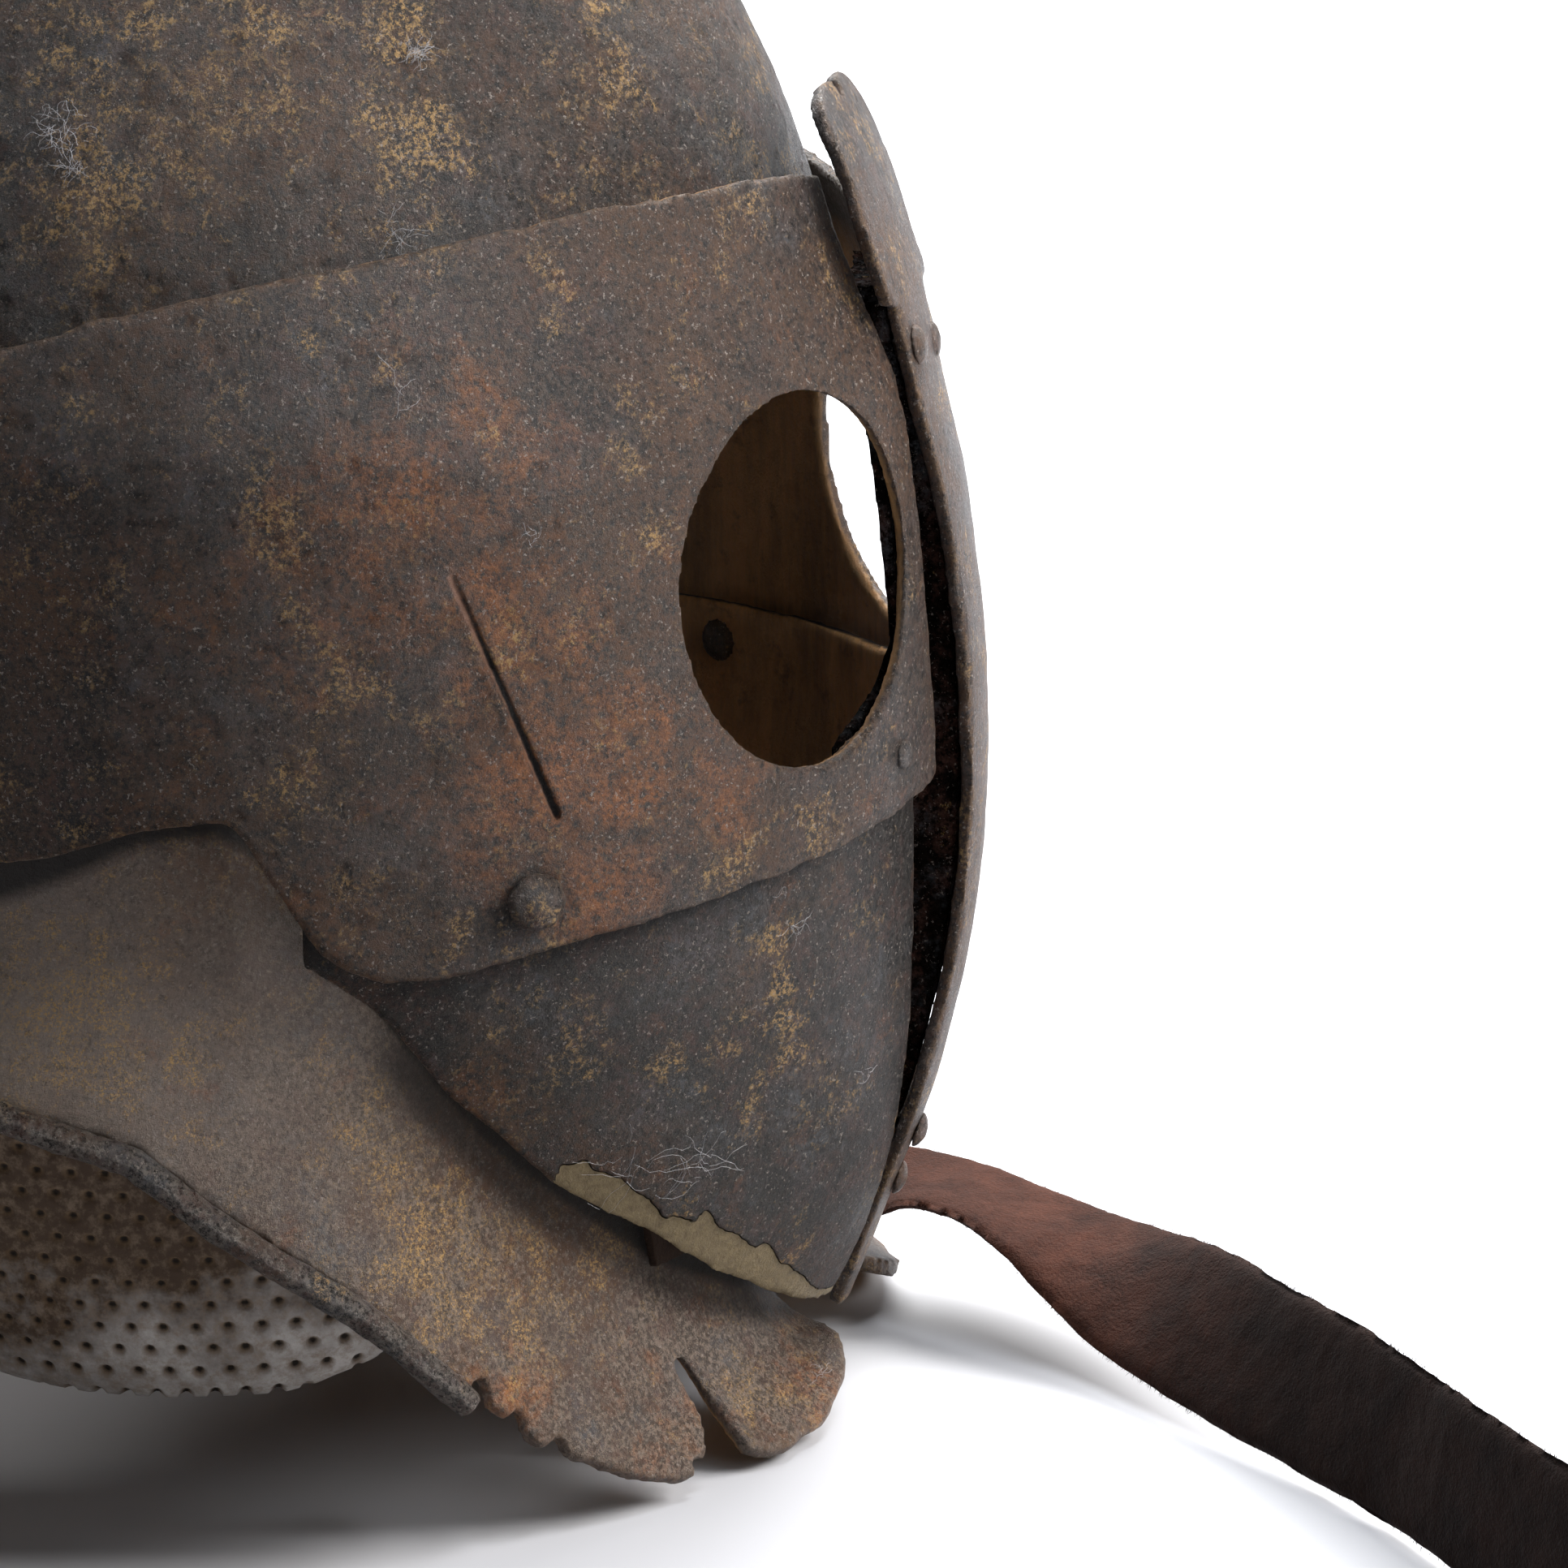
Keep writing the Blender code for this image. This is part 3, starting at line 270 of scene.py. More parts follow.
def lattice(cells, seed):
    """Repeatable value from -1 to 1 for each whole-number cell."""
    with np.errstate(over="ignore"):
        mixed = cells[:, 0] * 73856093 ^ cells[:, 1] * 19349663 ^ cells[:, 2] * 83492791 ^ seed * 26544357
        mixed = (mixed ^ (mixed >> 13)) * 1274126177
        mixed = mixed ^ (mixed >> 16)
    return (mixed & 0xFFFF) / 32767.5 - 1


def noise(points, size, seed=0):
    """Smooth noise from -1 to 1 at points, with features of the given size in metres."""
    spots = points / size
    cells = np.floor(spots).astype(np.int64)
    near = spots - cells
    near = near * near * (3 - 2 * near)
    total = np.zeros(len(points))
    for corner in range(8):
        step = np.array([corner & 1, corner >> 1 & 1, corner >> 2 & 1])
        weight = np.prod(np.where(step, near, 1 - near), axis=1)
        total += weight * lattice(cells + step, seed)
    return total


def rough(points, size, octaves=3, seed=0):
    """Sum of noises, each half as big and half as strong as the one before."""
    return sum(noise(points, size / 2 ** k, seed + k) / 2 ** k for k in range(octaves))


def line_noise(values, size, seed=0):
    """Noise along one number."""
    values = np.atleast_1d(np.asarray(values, float))
    points = np.stack([values, values * 0 + 7.3 * size, values * 0], 1)
    return rough(points, size, 3, seed)


def coordinates(mesh):
    """A mesh's points as an array."""
    flat = np.empty(len(mesh.vertices) * 3, np.float32)
    mesh.vertices.foreach_get("co", flat)
    return flat.reshape(-1, 3).astype(float)


def set_coordinates(mesh, points):
    """Write an array of points back to a mesh."""
    mesh.vertices.foreach_set("co", points.astype(np.float32).ravel())
    mesh.update()


def turns_of(points):
    """Each point's turn round the vertical axis, in radians: 0 at the front."""
    return np.arctan2(points[:, 0], -points[:, 1])


def normals(mesh):
    """A mesh's point normals as an array."""
    flat = np.empty(len(mesh.vertices) * 3, np.float32)
    mesh.vertex_normals.foreach_get("vector", flat)
    return flat.reshape(-1, 3).astype(float)


def attribute(mesh, name, values):
    """Store one number per point, or the same one for all, for the materials."""
    kept = mesh.attributes.get(name) or mesh.attributes.new(name, "FLOAT", "POINT")
    kept.data.foreach_set("value", np.broadcast_to(values, len(mesh.vertices)).astype(np.float32))


def stored(mesh, name):
    """The numbers that were stored on a mesh under a name."""
    values = np.empty(len(mesh.vertices), np.float32)
    mesh.attributes[name].data.foreach_get("value", values)
    return values


def push(obj, lift):
    """Move an object's points along their normals by distances in mm."""
    set_coordinates(obj.data, coordinates(obj.data) + normals(obj.data) * (lift * MM)[:, None])


def new_object(name, mesh):
    """Link a mesh as an object."""
    made = bpy.data.objects.new(name, mesh)
    bpy.context.scene.collection.objects.link(made)
    return made


def mesh_object(name, points, faces):
    """Object made of points and faces."""
    mesh = bpy.data.meshes.new(name)
    mesh.from_pydata([tuple(point) for point in points], [], faces)
    return new_object(name, mesh)


def node_copy(node, name):
    """New object with a copy of a CAD node's mesh."""
    return new_object(name, frame["nodes"][node].data.copy())


def prism(name, first, last):
    """Closed solid between two rings of as many points."""
    count = len(first)
    faces = [(k, (k + 1) % count, (k + 1) % count + count, k + count) for k in range(count)]
    faces += [tuple(reversed(range(count))), tuple(range(count, 2 * count))]
    return mesh_object(name, first + last, faces)


def apply_modifiers(obj):
    """Replace an object's mesh by its evaluated one."""
    graph = bpy.context.evaluated_depsgraph_get()
    done = bpy.data.meshes.new_from_object(obj.evaluated_get(graph))
    obj.modifiers.clear()
    obj.data = done
    return obj


def remesh(obj, size, smoothing=3):
    """Even, closed mesh with rounded edges."""
    change = obj.modifiers.new("remesh", "REMESH")
    change.mode = "VOXEL"
    change.voxel_size = size
    soft = obj.modifiers.new("soften", "SMOOTH")
    soft.factor = 0.5
    soft.iterations = smoothing
    return apply_modifiers(obj)


def carve(obj, cutter):
    """Cut a closed mesh object out of another, and remove it."""
    change = obj.modifiers.new("carve", "BOOLEAN")
    change.operation = "DIFFERENCE"
    change.solver = "EXACT"
    change.object = cutter
    apply_modifiers(obj)
    bpy.data.objects.remove(cutter)
    return obj


def closed_sheet(name, outer, thickness, ring=False):
    """Closed plate from a grid of points on its outer face; ring closes the grid's columns on themselves."""
    rows, cols = outer.shape[:2]
    across = np.gradient(outer, axis=1)
    if ring:
        across = (np.roll(outer, -1, 1) - np.roll(outer, 1, 1)) / 2
    along = np.gradient(outer, axis=0)
    normal = np.cross(across, along)
    normal /= np.maximum(np.linalg.norm(normal, axis=2, keepdims=True), 1e-12)
    middle = outer.mean((0, 1))
    if ((outer - middle) * normal).sum() < 0:
        normal = -normal
    inner = outer - normal * thickness
    points = np.concatenate([outer.reshape(-1, 3), inner.reshape(-1, 3)])
    count = rows * cols
    faces = []
    last = cols if ring else cols - 1
    for i in range(rows - 1):
        for j in range(last):
            a, b = i * cols + j, i * cols + (j + 1) % cols
            c, d = b + cols, a + cols
            faces.append((a, b, c, d))
            faces.append((d + count, c + count, b + count, a + count))
    for i in (0, rows - 1):
        for j in range(last):
            a, b = i * cols + j, i * cols + (j + 1) % cols
            faces.append((b, a, a + count, b + count) if i == 0 else (a, b, b + count, a + count))
    if not ring:
        for j in (0, cols - 1):
            for i in range(rows - 1):
                a, b = i * cols + j, (i + 1) * cols + j
                faces.append((a, b, b + count, a + count) if j == 0 else (b, a, a + count, b + count))
    return mesh_object(name, points.tolist(), faces)


def grid(point, turns, low, high, rows, sign=1):
    """Grid of outer points: point(turn, value) with value running from low(turn) to high(turn)."""
    made = np.zeros((rows + 1, len(turns), 3))
    for j, turn in enumerate(turns):
        first, last = low(turn), high(turn)
        for i in range(rows + 1):
            front, side, up = point(turn, first + (last - first) * i / rows)
            made[i, j] = (sign * side, -front, up)
    return made


def edge_distance(mesh, marks):
    """Distance of every point of a mesh from the nearest of the given points."""
    tree = KDTree(len(marks))
    for k, spot in enumerate(marks):
        tree.insert(spot, k)
    tree.balance()
    return np.array([tree.find(spot)[2] for spot in coordinates(mesh)])


def weather(obj, lump=0.12, pit=0.10, seed=0, dent=0.25):
    """Hand-beaten dents, lumps and rust pits as real relief, in mm."""
    points = coordinates(obj.data)
    lift = dent * rough(points, 45 * MM, 2, seed) + lump * rough(points, 6 * MM, 3, seed + 5)
    grit = rough(points, 2.2 * MM, 2, seed + 11)
    push(obj, lift - pit * np.clip(grit - 0.25, 0, 1) * 1.4)


def chipping(points, away, width, size, seed):
    """How chipped an edge is, 0 to 1: away is the distance from the edge in mm, and width its reach."""
    return np.clip(1 - away / width, 0, 1) * np.clip(rough(points, size * MM, 2, seed), 0, 1)


def settle(obj, body, nodes, material):
    """Shade smooth, give the material, and set the piece on its body in place of its CAD nodes."""
    obj.data.materials.clear()
    obj.data.materials.append(material)
    obj.data.shade_smooth()
    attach(obj, body)
    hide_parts(*nodes)
    return obj


def loose_piece(name, points, faces, body, material):
    """Piece with no CAD node behind it: fibres, dust or chips."""
    made = mesh_object(name, points, faces)
    made.data.materials.append(material)
    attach(made, body)
    return made


def span(first, last, count):
    """Evenly spaced values."""
    return list(np.linspace(first, last, count + 1))


# ---------------------------------------------------------------- materials

class Graph:
    """Small helper that makes and links shader nodes."""

    def __init__(self, name):
        self.material = bpy.data.materials.new(name)
        self.material.use_nodes = True
        self.tree = self.material.node_tree
        self.shader = self.tree.nodes["Principled BSDF"]
        self.coords = self.tree.nodes.new("ShaderNodeTexCoord").outputs["Object"]

    def set(self, socket, value):
        """Link a socket to an output, or set it to a constant."""
        if isinstance(value, bpy.types.NodeSocket):
            self.tree.links.new(value, socket)
        else:
            socket.default_value = value

    def noise(self, per_metre, detail=4, roughness=0.6, stretch=(1, 1, 1), distortion=0):
        """Noise from 0 to 1."""
        place_node = self.tree.nodes.new("ShaderNodeMapping")
        place_node.inputs["Scale"].default_value = stretch
        self.set(place_node.inputs["Vector"], self.coords)
        node = self.tree.nodes.new("ShaderNodeTexNoise")
        node.inputs["Scale"].default_value = per_metre
        node.inputs["Detail"].default_value = detail
        node.inputs["Roughness"].default_value = roughness
        node.inputs["Distortion"].default_value = distortion
        self.set(node.inputs["Vector"], place_node.outputs[0])
        return node.outputs["Fac"]

    def ramp(self, value, low, high, out_low=0.0, out_high=1.0):
        """Clamped linear change."""
        node = self.tree.nodes.new("ShaderNodeMapRange")
        self.set(node.inputs["Value"], value)
        node.inputs["From Min"].default_value = low
        node.inputs["From Max"].default_value = high
        node.inputs["To Min"].default_value = out_low
        node.inputs["To Max"].default_value = out_high
        return node.outputs["Result"]

    def maths(self, operation, a, b=0.0):
        """Arithmetic on two values."""
        node = self.tree.nodes.new("ShaderNodeMath")
        node.operation = operation
        self.set(node.inputs[0], a)
        self.set(node.inputs[1], b)
        return node.outputs[0]

    def times(self, a, b):
        """Product."""
        return self.maths("MULTIPLY", a, b)

    def plus(self, a, b):
        """Sum."""
        return self.maths("ADD", a, b)

    def minus(self, a, b):
        """Difference."""
        return self.maths("SUBTRACT", a, b)

    def vector(self, operation, a, b=(0, 0, 0)):
        """Node that does arithmetic on two places."""
        node = self.tree.nodes.new("ShaderNodeVectorMath")
        node.operation = operation
        self.set(node.inputs[0], a)
        self.set(node.inputs[1], b)
        return node

    def along(self, axis):
        """One coordinate of the shaded place, in metres."""
        split = self.tree.nodes.new("ShaderNodeSeparateXYZ")
        self.set(split.inputs[0], self.coords)
        return split.outputs[axis]

    def mix(self, share, a, b):
        """Colour between a and b."""
        node = self.tree.nodes.new("ShaderNodeMix")
        node.data_type = "RGBA"
        self.set(node.inputs["Factor"], share)
        for socket, value in ((node.inputs["A"], a), (node.inputs["B"], b)):
            self.set(socket, value if isinstance(value, bpy.types.NodeSocket) else (*value, 1))
        return node.outputs["Result"]

    def stored(self, name):
        """A number stored on the mesh."""
        node = self.tree.nodes.new("ShaderNodeAttribute")
        node.attribute_name = name
        return node.outputs["Fac"]

    def ball(self, front, side, up, radius):
        """1 at a place on the wearer's right, falling to 0 at a radius; all in mm."""
        away = self.vector("DISTANCE", self.coords, right(front, side, up)).outputs["Value"]
        return self.ramp(away, 0.05 * radius * MM, radius * MM, 1, 0)

    def patches(self, mask, spots, fray, low, high):
        """A mask, raised round spots, which are balls with a strength; fray roughens their rims."""
        for *ball, strength in spots:
            near = self.plus(self.times(self.ball(*ball), strength), fray)
            mask = self.maths("MAXIMUM", mask, self.ramp(near, low, high))
        return mask

    def line_away(self, start, end):
        """Distance from a straight line between two places, and how far along it, in metres."""
        start, end = Vector(start), Vector(end)
        along = (end - start).normalized()
        length = (end - start).length
        from_start = self.vector("SUBTRACT", self.coords, start).outputs[0]
        reach = self.vector("DOT_PRODUCT", from_start, along).outputs["Value"]
        held = self.ramp(reach, 0, length, 0, length)
        foot = self.vector("SCALE", along)
        self.set(foot.inputs["Scale"], held)
        return self.vector("DISTANCE", from_start, foot.outputs[0]).outputs["Value"], held

    def bump(self, height, distance, below=None, strength=1.0):
        """Bump of a height, on top of another bump."""
        node = self.tree.nodes.new("ShaderNodeBump")
        node.inputs["Strength"].default_value = strength
        node.inputs["Distance"].default_value = distance
        self.set(node.inputs["Height"], height)
        if below:
            self.set(node.inputs["Normal"], below)
        return node.outputs["Normal"]

    def finish(self, colour, roughness, normal, metallic=0.0, level=0.5):
        """Connect the shader."""
        self.set(self.shader.inputs["Base Color"], colour)
        self.set(self.shader.inputs["Roughness"], roughness)
        self.set(self.shader.inputs["Normal"], normal)
        self.shader.inputs["Metallic"].default_value = metallic
        self.shader.inputs["Specular IOR Level"].default_value = level
        return self.material


# Colours of the iron's layers.
PURPLE_BROWN = (0.105, 0.050, 0.038)
BLUE_GREY = (0.088, 0.092, 0.100)
BROWN = (0.105, 0.050, 0.022)
SHEEN_GREY = (0.30, 0.245, 0.205)
DARK_RUST = (0.125, 0.038, 0.012)
ORANGE = (0.41, 0.150, 0.040)
OCHRE = (0.50, 0.305, 0.110)
BARE_EDGE = (0.19, 0.115, 0.065)
PIT = (0.004, 0.0032, 0.003)
PAINTED_GLINT = (0.40, 0.345, 0.30)
CUT_LIP = (0.34, 0.18, 0.12)
CUT_FLOOR = (0.006, 0.003, 0.002)
VARNISH = (0.80, 0.43, 0.165)
SOOT_AND_SHADE = (0.006, 0.0045, 0.004)
DARK_PRIMER = (0.112, 0.080, 0.038)
PALE_PRIMER = (0.20, 0.150, 0.075)


def tint(g, colour, share, strength, layer):
    """A colour with a layer over it, where share is how far it covers."""
    return g.mix(g.times(share, strength), colour, layer)


def darker(colour, share):
    """A constant colour at a share of its brightness."""
    return tuple(share * part for part in colour)


def old_paint(g, colour, rust, sheen_spots, broad, fleck):
    """Purple, blue-grey and brown clouds, and pale grey patches of painted sheen."""
    purple = g.times(g.ramp(g.noise(130, 6, 0.75), 0.46, 0.6), g.ramp(fleck, 0.42, 0.55))
    colour = tint(g, colour, purple, 0.6, PURPLE_BROWN)
    steel = g.times(g.ramp(g.noise(44, 6, 0.75), 0.5, 0.62), g.ramp(fleck, 0.44, 0.58))
    colour = tint(g, colour, steel, 0.75, BLUE_GREY)
    brown = g.times(g.ramp(broad, 0.60 - 0.2 * rust, 0.70 - 0.14 * rust), g.ramp(fleck, 0.40, 0.56))
    colour = tint(g, colour, brown, 0.8, BROWN)
    # Pale grey patches round the given spots: painted sheen, a painted highlight where the collar faces up.
    for *ball, strength in sheen_spots:
        wear_and_sheen = g.times(g.ball(*ball), strength)
        colour = tint(g, colour, wear_and_sheen, g.ramp(fleck, 0.3, 0.6, 0.4, 1.0), SHEEN_GREY)
    return colour


def rust_and_ochre(g, colour, rust, ochre, warm, golden, flecks, fine, fleck):
    """Orange rust round the warm places, and ochre speckle round the golden ones."""
    blotch = g.noise(80, 7, 0.76, distortion=0.25)
    heat = g.ramp(blotch, 0.62, 0.70, 0, 0.6 * rust)
    heat = g.patches(heat, warm, g.times(g.minus(blotch, 0.5), 3.0), 0.2, 0.9)
    orange = g.mix(g.ramp(fine, 0.4, 0.62), DARK_RUST, ORANGE)
    colour = tint(g, colour, g.times(heat, g.ramp(fleck, 0.38, 0.52)), 0.9, orange)
    cluster = g.ramp(g.noise(60, 7, 0.8), 0.60 - 0.08 * ochre, 0.68 - 0.06 * ochre, 0, 0.95)
    cluster = g.patches(cluster, golden, g.times(g.minus(g.noise(150, 6, 0.8), 0.5), 3.6), 0.35, 0.75)
    speck = g.times(cluster, g.ramp(g.noise(flecks, 5, 0.85), 0.50, 0.56))
    return tint(g, colour, speck, 0.9, OCHRE)


def long_cut(g, colour, cut, grains):
    """The long cut with its paler lip, and the ragged distance from its middle."""
    line, held = g.line_away(*cut)
    lip, _ = g.line_away(*[Vector(end) + Vector((0, 0.75 * MM, 0)) for end in cut])
    ragged = g.plus(line, g.times(g.minus(grains, 0.5), 0.9 * MM))
    ragged = g.minus(ragged, g.times(held, 0.009))
    colour = g.mix(g.ramp(lip, 0.25 * MM, 0.7 * MM, 0.9, 0), colour, CUT_LIP)
    return g.mix(g.ramp(ragged, 0.10 * MM, 0.32 * MM, 1, 0), colour, CUT_FLOOR), ragged


def varnish(g):
    """Streaked brown varnish of the inner faces."""
    streak = g.noise(60, 6, 0.75, stretch=(1, 1, 0.2))
    colour = g.mix(g.ramp(streak, 0.38, 0.62), darker(VARNISH, 0.5), VARNISH)
    return g.mix(g.ramp(g.noise(200, 5, 0.75), 0.56, 0.68, 0, 0.5), colour, darker(VARNISH, 0.25))


def iron(name, dark, light, rust=0.5, ochre=0.5, warm=(), golden=(), edge=BARE_EDGE, grit=1.0,
         shine=0.36, flecks=1000, cut=None, sheen_spots=(), level=0.38, metal=0.15):
    """Blackened iron: dark gritty paint, brown and orange rust, ochre speckle, bare worn edges, painted
    glints, painted sheen, and dirt with painted shade.
    """
    g = Graph(name)
    broad = g.noise(24, 6, 0.7)
    fleck = g.noise(620, 5, 0.8)
    fine = g.noise(1000, 5, 0.85)
    grains = g.noise(480, 6, 0.85)
    colour = g.mix(g.ramp(fine, 0.45, 0.57), dark, light)
    colour = old_paint(g, colour, rust, sheen_spots, broad, fleck)
    colour = rust_and_ochre(g, colour, rust, ochre, warm, golden, flecks, fine, fleck)
    wear_and_sheen = g.times(g.ramp(g.stored("edge"), 0.0, 1.2, 1, 0), g.ramp(fleck, 0.40, 0.60))
    colour = tint(g, colour, wear_and_sheen, 0.85, edge)
    colour = g.mix(g.ramp(grains, 0.44, 0.37, 0, 0.9 * min(1.0, grit)), colour, PIT)
    # Bright grey specks in the base colour: painted glints, a painted highlight on the grit.
    colour = g.mix(g.ramp(g.noise(1400, 3, 0.7), 0.62, 0.65, 0, 0.7 * min(1.0, grit + 0.2)), colour, PAINTED_GLINT)
    if cut:
        colour, ragged = long_cut(g, colour, cut, grains)
    colour = g.mix(g.stored("inside"), colour, varnish(g))
    # Near black where the stored dirt mark is high: real dirt in the cut, painted shade in recesses, under
    # overlaps and round rivets.
    colour = g.mix(g.ramp(g.stored("soot_and_shade"), 0.0, 1.0, 0, 0.92), colour, SOOT_AND_SHADE)
    primer = g.mix(g.ramp(fleck, 0.35, 0.65), DARK_PRIMER, PALE_PRIMER)
    colour = g.mix(g.ramp(g.stored("flake"), 0.45, 0.55), colour, primer)
    relief = g.minus(1.0, g.times(g.ramp(g.stored("flake"), 0.4, 0.6), 0.8))
    normal = g.bump(g.times(g.noise(420, 5, 0.75), relief), 1.7 * MM * grit, strength=0.85)
    height = g.plus(fine, g.times(grains, 0.8))
    normal = g.bump(g.times(height, relief), 2.1 * MM * grit, normal, 1.0)
    if cut:
        normal = g.bump(g.ramp(ragged, 0, 0.5 * MM), 0.6 * MM, normal, 1.0)
    roughness = g.ramp(g.plus(fine, g.times(broad, 0.5)), 0.55, 1.0, shine - 0.08, shine + 0.22)
    return g.finish(colour, roughness, normal, metal, level)


def leather(name, dark, light, nap=1.0):
    """Suede or rough leather: cloudy colour, short nap and creases."""
    g = Graph(name)
    cloud = g.noise(60, 5, 0.65)
    fine = g.noise(1400, 3, 0.75)
    colour = g.mix(g.ramp(g.plus(cloud, g.times(fine, 0.5)), 0.55, 0.95), dark, light)
    colour = g.mix(g.ramp(g.noise(500, 4, 0.7), 0.62, 0.72, 0, 0.35), colour, (0.24, 0.15, 0.10))
    normal = g.bump(fine, 0.5 * MM * nap, strength=0.8)
    normal = g.bump(g.noise(260, 4, 0.6), 0.6 * MM * nap, normal, 0.6)
    return g.finish(colour, 0.93, normal, 0.0, 0.2)


def strap_suede():
    """Rust-brown suede that darkens away from the helmet."""
    g = Graph("strap_suede")
    fine = g.noise(1500, 3, 0.75)
    cloud = g.noise(90, 5, 0.65)
    shade = g.plus(g.times(cloud, 0.7), g.times(fine, 0.5))
    warm = g.mix(g.ramp(shade, 0.4, 0.85), (0.016, 0.0065, 0.0045), (0.070, 0.025, 0.015))
    cold = g.mix(g.ramp(shade, 0.4, 0.85), (0.005, 0.0026, 0.002), (0.021, 0.010, 0.007))
    away = g.ramp(g.plus(g.along("Y"), g.times(cloud, 0.02)), -0.175, -0.135, 1, 0)
    colour = g.mix(away, warm, cold)
    normal = g.bump(fine, 0.55 * MM, strength=0.9)
    normal = g.bump(g.noise(300, 4, 0.6), 0.5 * MM, normal, 0.6)
    g.shader.inputs["Sheen Weight"].default_value = 0.03
    g.shader.inputs["Sheen Roughness"].default_value = 0.5
    return g.finish(colour, 0.95, normal, 0.0, 0.08)


def padding():
    """White perforated cover with brown stains and painted shade towards its top and back, dark rings round
    its holes, and painted shade inside them.
    """
    g = Graph("pad_white")
    cloud = g.noise(38, 6, 0.7)
    fine = g.noise(900, 3, 0.7)
    # Darker towards the top and the back: brown staining, and painted shade beneath the collar's rim.
    height = g.ramp(g.along("Z"), 0.018, 0.055, 0, 1)
    behind = g.ramp(g.along("Y"), -0.05, 0.02, 0, 0.22)
    stain_and_shade = g.plus(g.plus(cloud, behind), g.times(height, 0.4))
    stain_and_shade = g.ramp(stain_and_shade, 0.48, 0.86)
    colour = g.mix(stain_and_shade, (0.50, 0.47, 0.44), (0.060, 0.038, 0.024))
    colour = g.mix(g.ramp(g.noise(420, 5, 0.75), 0.46, 0.64, 0, 0.6), colour, (0.20, 0.145, 0.10))
    ring = g.stored("hole")
    colour = g.mix(g.ramp(ring, 0.15, 0.65, 0, 0.75), colour, (0.12, 0.075, 0.040))
    # Near black in the middle of each hole: painted shade inside the perforations.
    colour = g.mix(g.ramp(ring, 0.6, 0.9), colour, (0.012, 0.008, 0.005))
    normal = g.bump(fine, 0.35 * MM, strength=0.7)
    normal = g.bump(g.noise(200, 4, 0.6), 0.8 * MM, normal, 0.5)
    return g.finish(colour, 0.85, normal, 0.0, 0.25)


def lint():
    """Pale grey dust and cobweb."""
    g = Graph("lint")
    colour = g.mix(g.noise(500), (0.35, 0.34, 0.34), (0.75, 0.75, 0.78))
    return g.finish(colour, 0.9, g.bump(g.noise(2000), 0.05 * MM))


def brass():
    """Dull brass wire."""
    g = Graph("buckle_brass")
    fine = g.noise(700, 3, 0.6)
    colour = g.mix(g.ramp(fine, 0.4, 0.7), (0.16, 0.10, 0.045), (0.50, 0.36, 0.17))
    return g.finish(colour, g.ramp(fine, 0.3, 0.7, 0.35, 0.6), g.bump(fine, 0.15 * MM), 0.9, 0.5)


CUT = (right(64.8, 87.5, 160), right(78.9, 80.7, 121))

# Spots of colour on the wearer's right: millimetres forward, to the right and up, a radius, and a strength.
GUARD_RUST = [(79, 80, 128, 30, 1.0), (74, 83, 150, 22, 0.9), (83, 78, 109, 20, 0.9), (56, 91, 173, 26, 0.75),
              (101, 63, 123, 16, 0.7), (69, 83, 181, 22, 0.5), (42, 96, 163, 26, 0.5)]
GUARD_OCHRE = [(42, 96, 128, 15, 0.6), (63, 89, 105, 10, 0.5), (74, 83, 150, 14, 0.5)]
CHIN_RUST = [(66, 83, 72, 9, 0.9), (80, 76, 50, 6, 0.7)]
CHIN_OCHRE = [(108, 50, 92, 7, 0.9), (108.5, 48, 84, 6, 0.9), (109, 46, 77, 7, 0.9), (109, 44.5, 70, 6, 0.8),
              (92, 62, 73, 8, 0.5), (103, 50, 63, 8, 0.6)]
DOME_OCHRE = [(55, 69, 224, 14, 1.0), (50, 62, 242, 16, 0.8), (9, 85, 218, 26, 0.7), (33, 72, 238, 22, 0.5),
              (8, 84, 243, 24, 0.8)]
COLLAR_RUST = [(97, 62, 12, 16, 0.6), (75, 84, 25, 12, 0.6), (114, 32, 8, 12, 0.7), (80, 78, 45, 14, 0.5)]
COLLAR_OCHRE = [(59, 87, 48, 22, 0.85), (53, 88, 61, 18, 0.7), (7, 101, 90, 24, 0.8), (72, 82, 34, 16, 0.6),
                (25, 99, 84, 18, 0.5)]
# Pale patches on the collar, in the same form: painted sheen on its upward faces.
COLLAR_SHEEN = [(0, 104, 92, 44, 0.95), (40, 95, 78, 34, 0.4)]

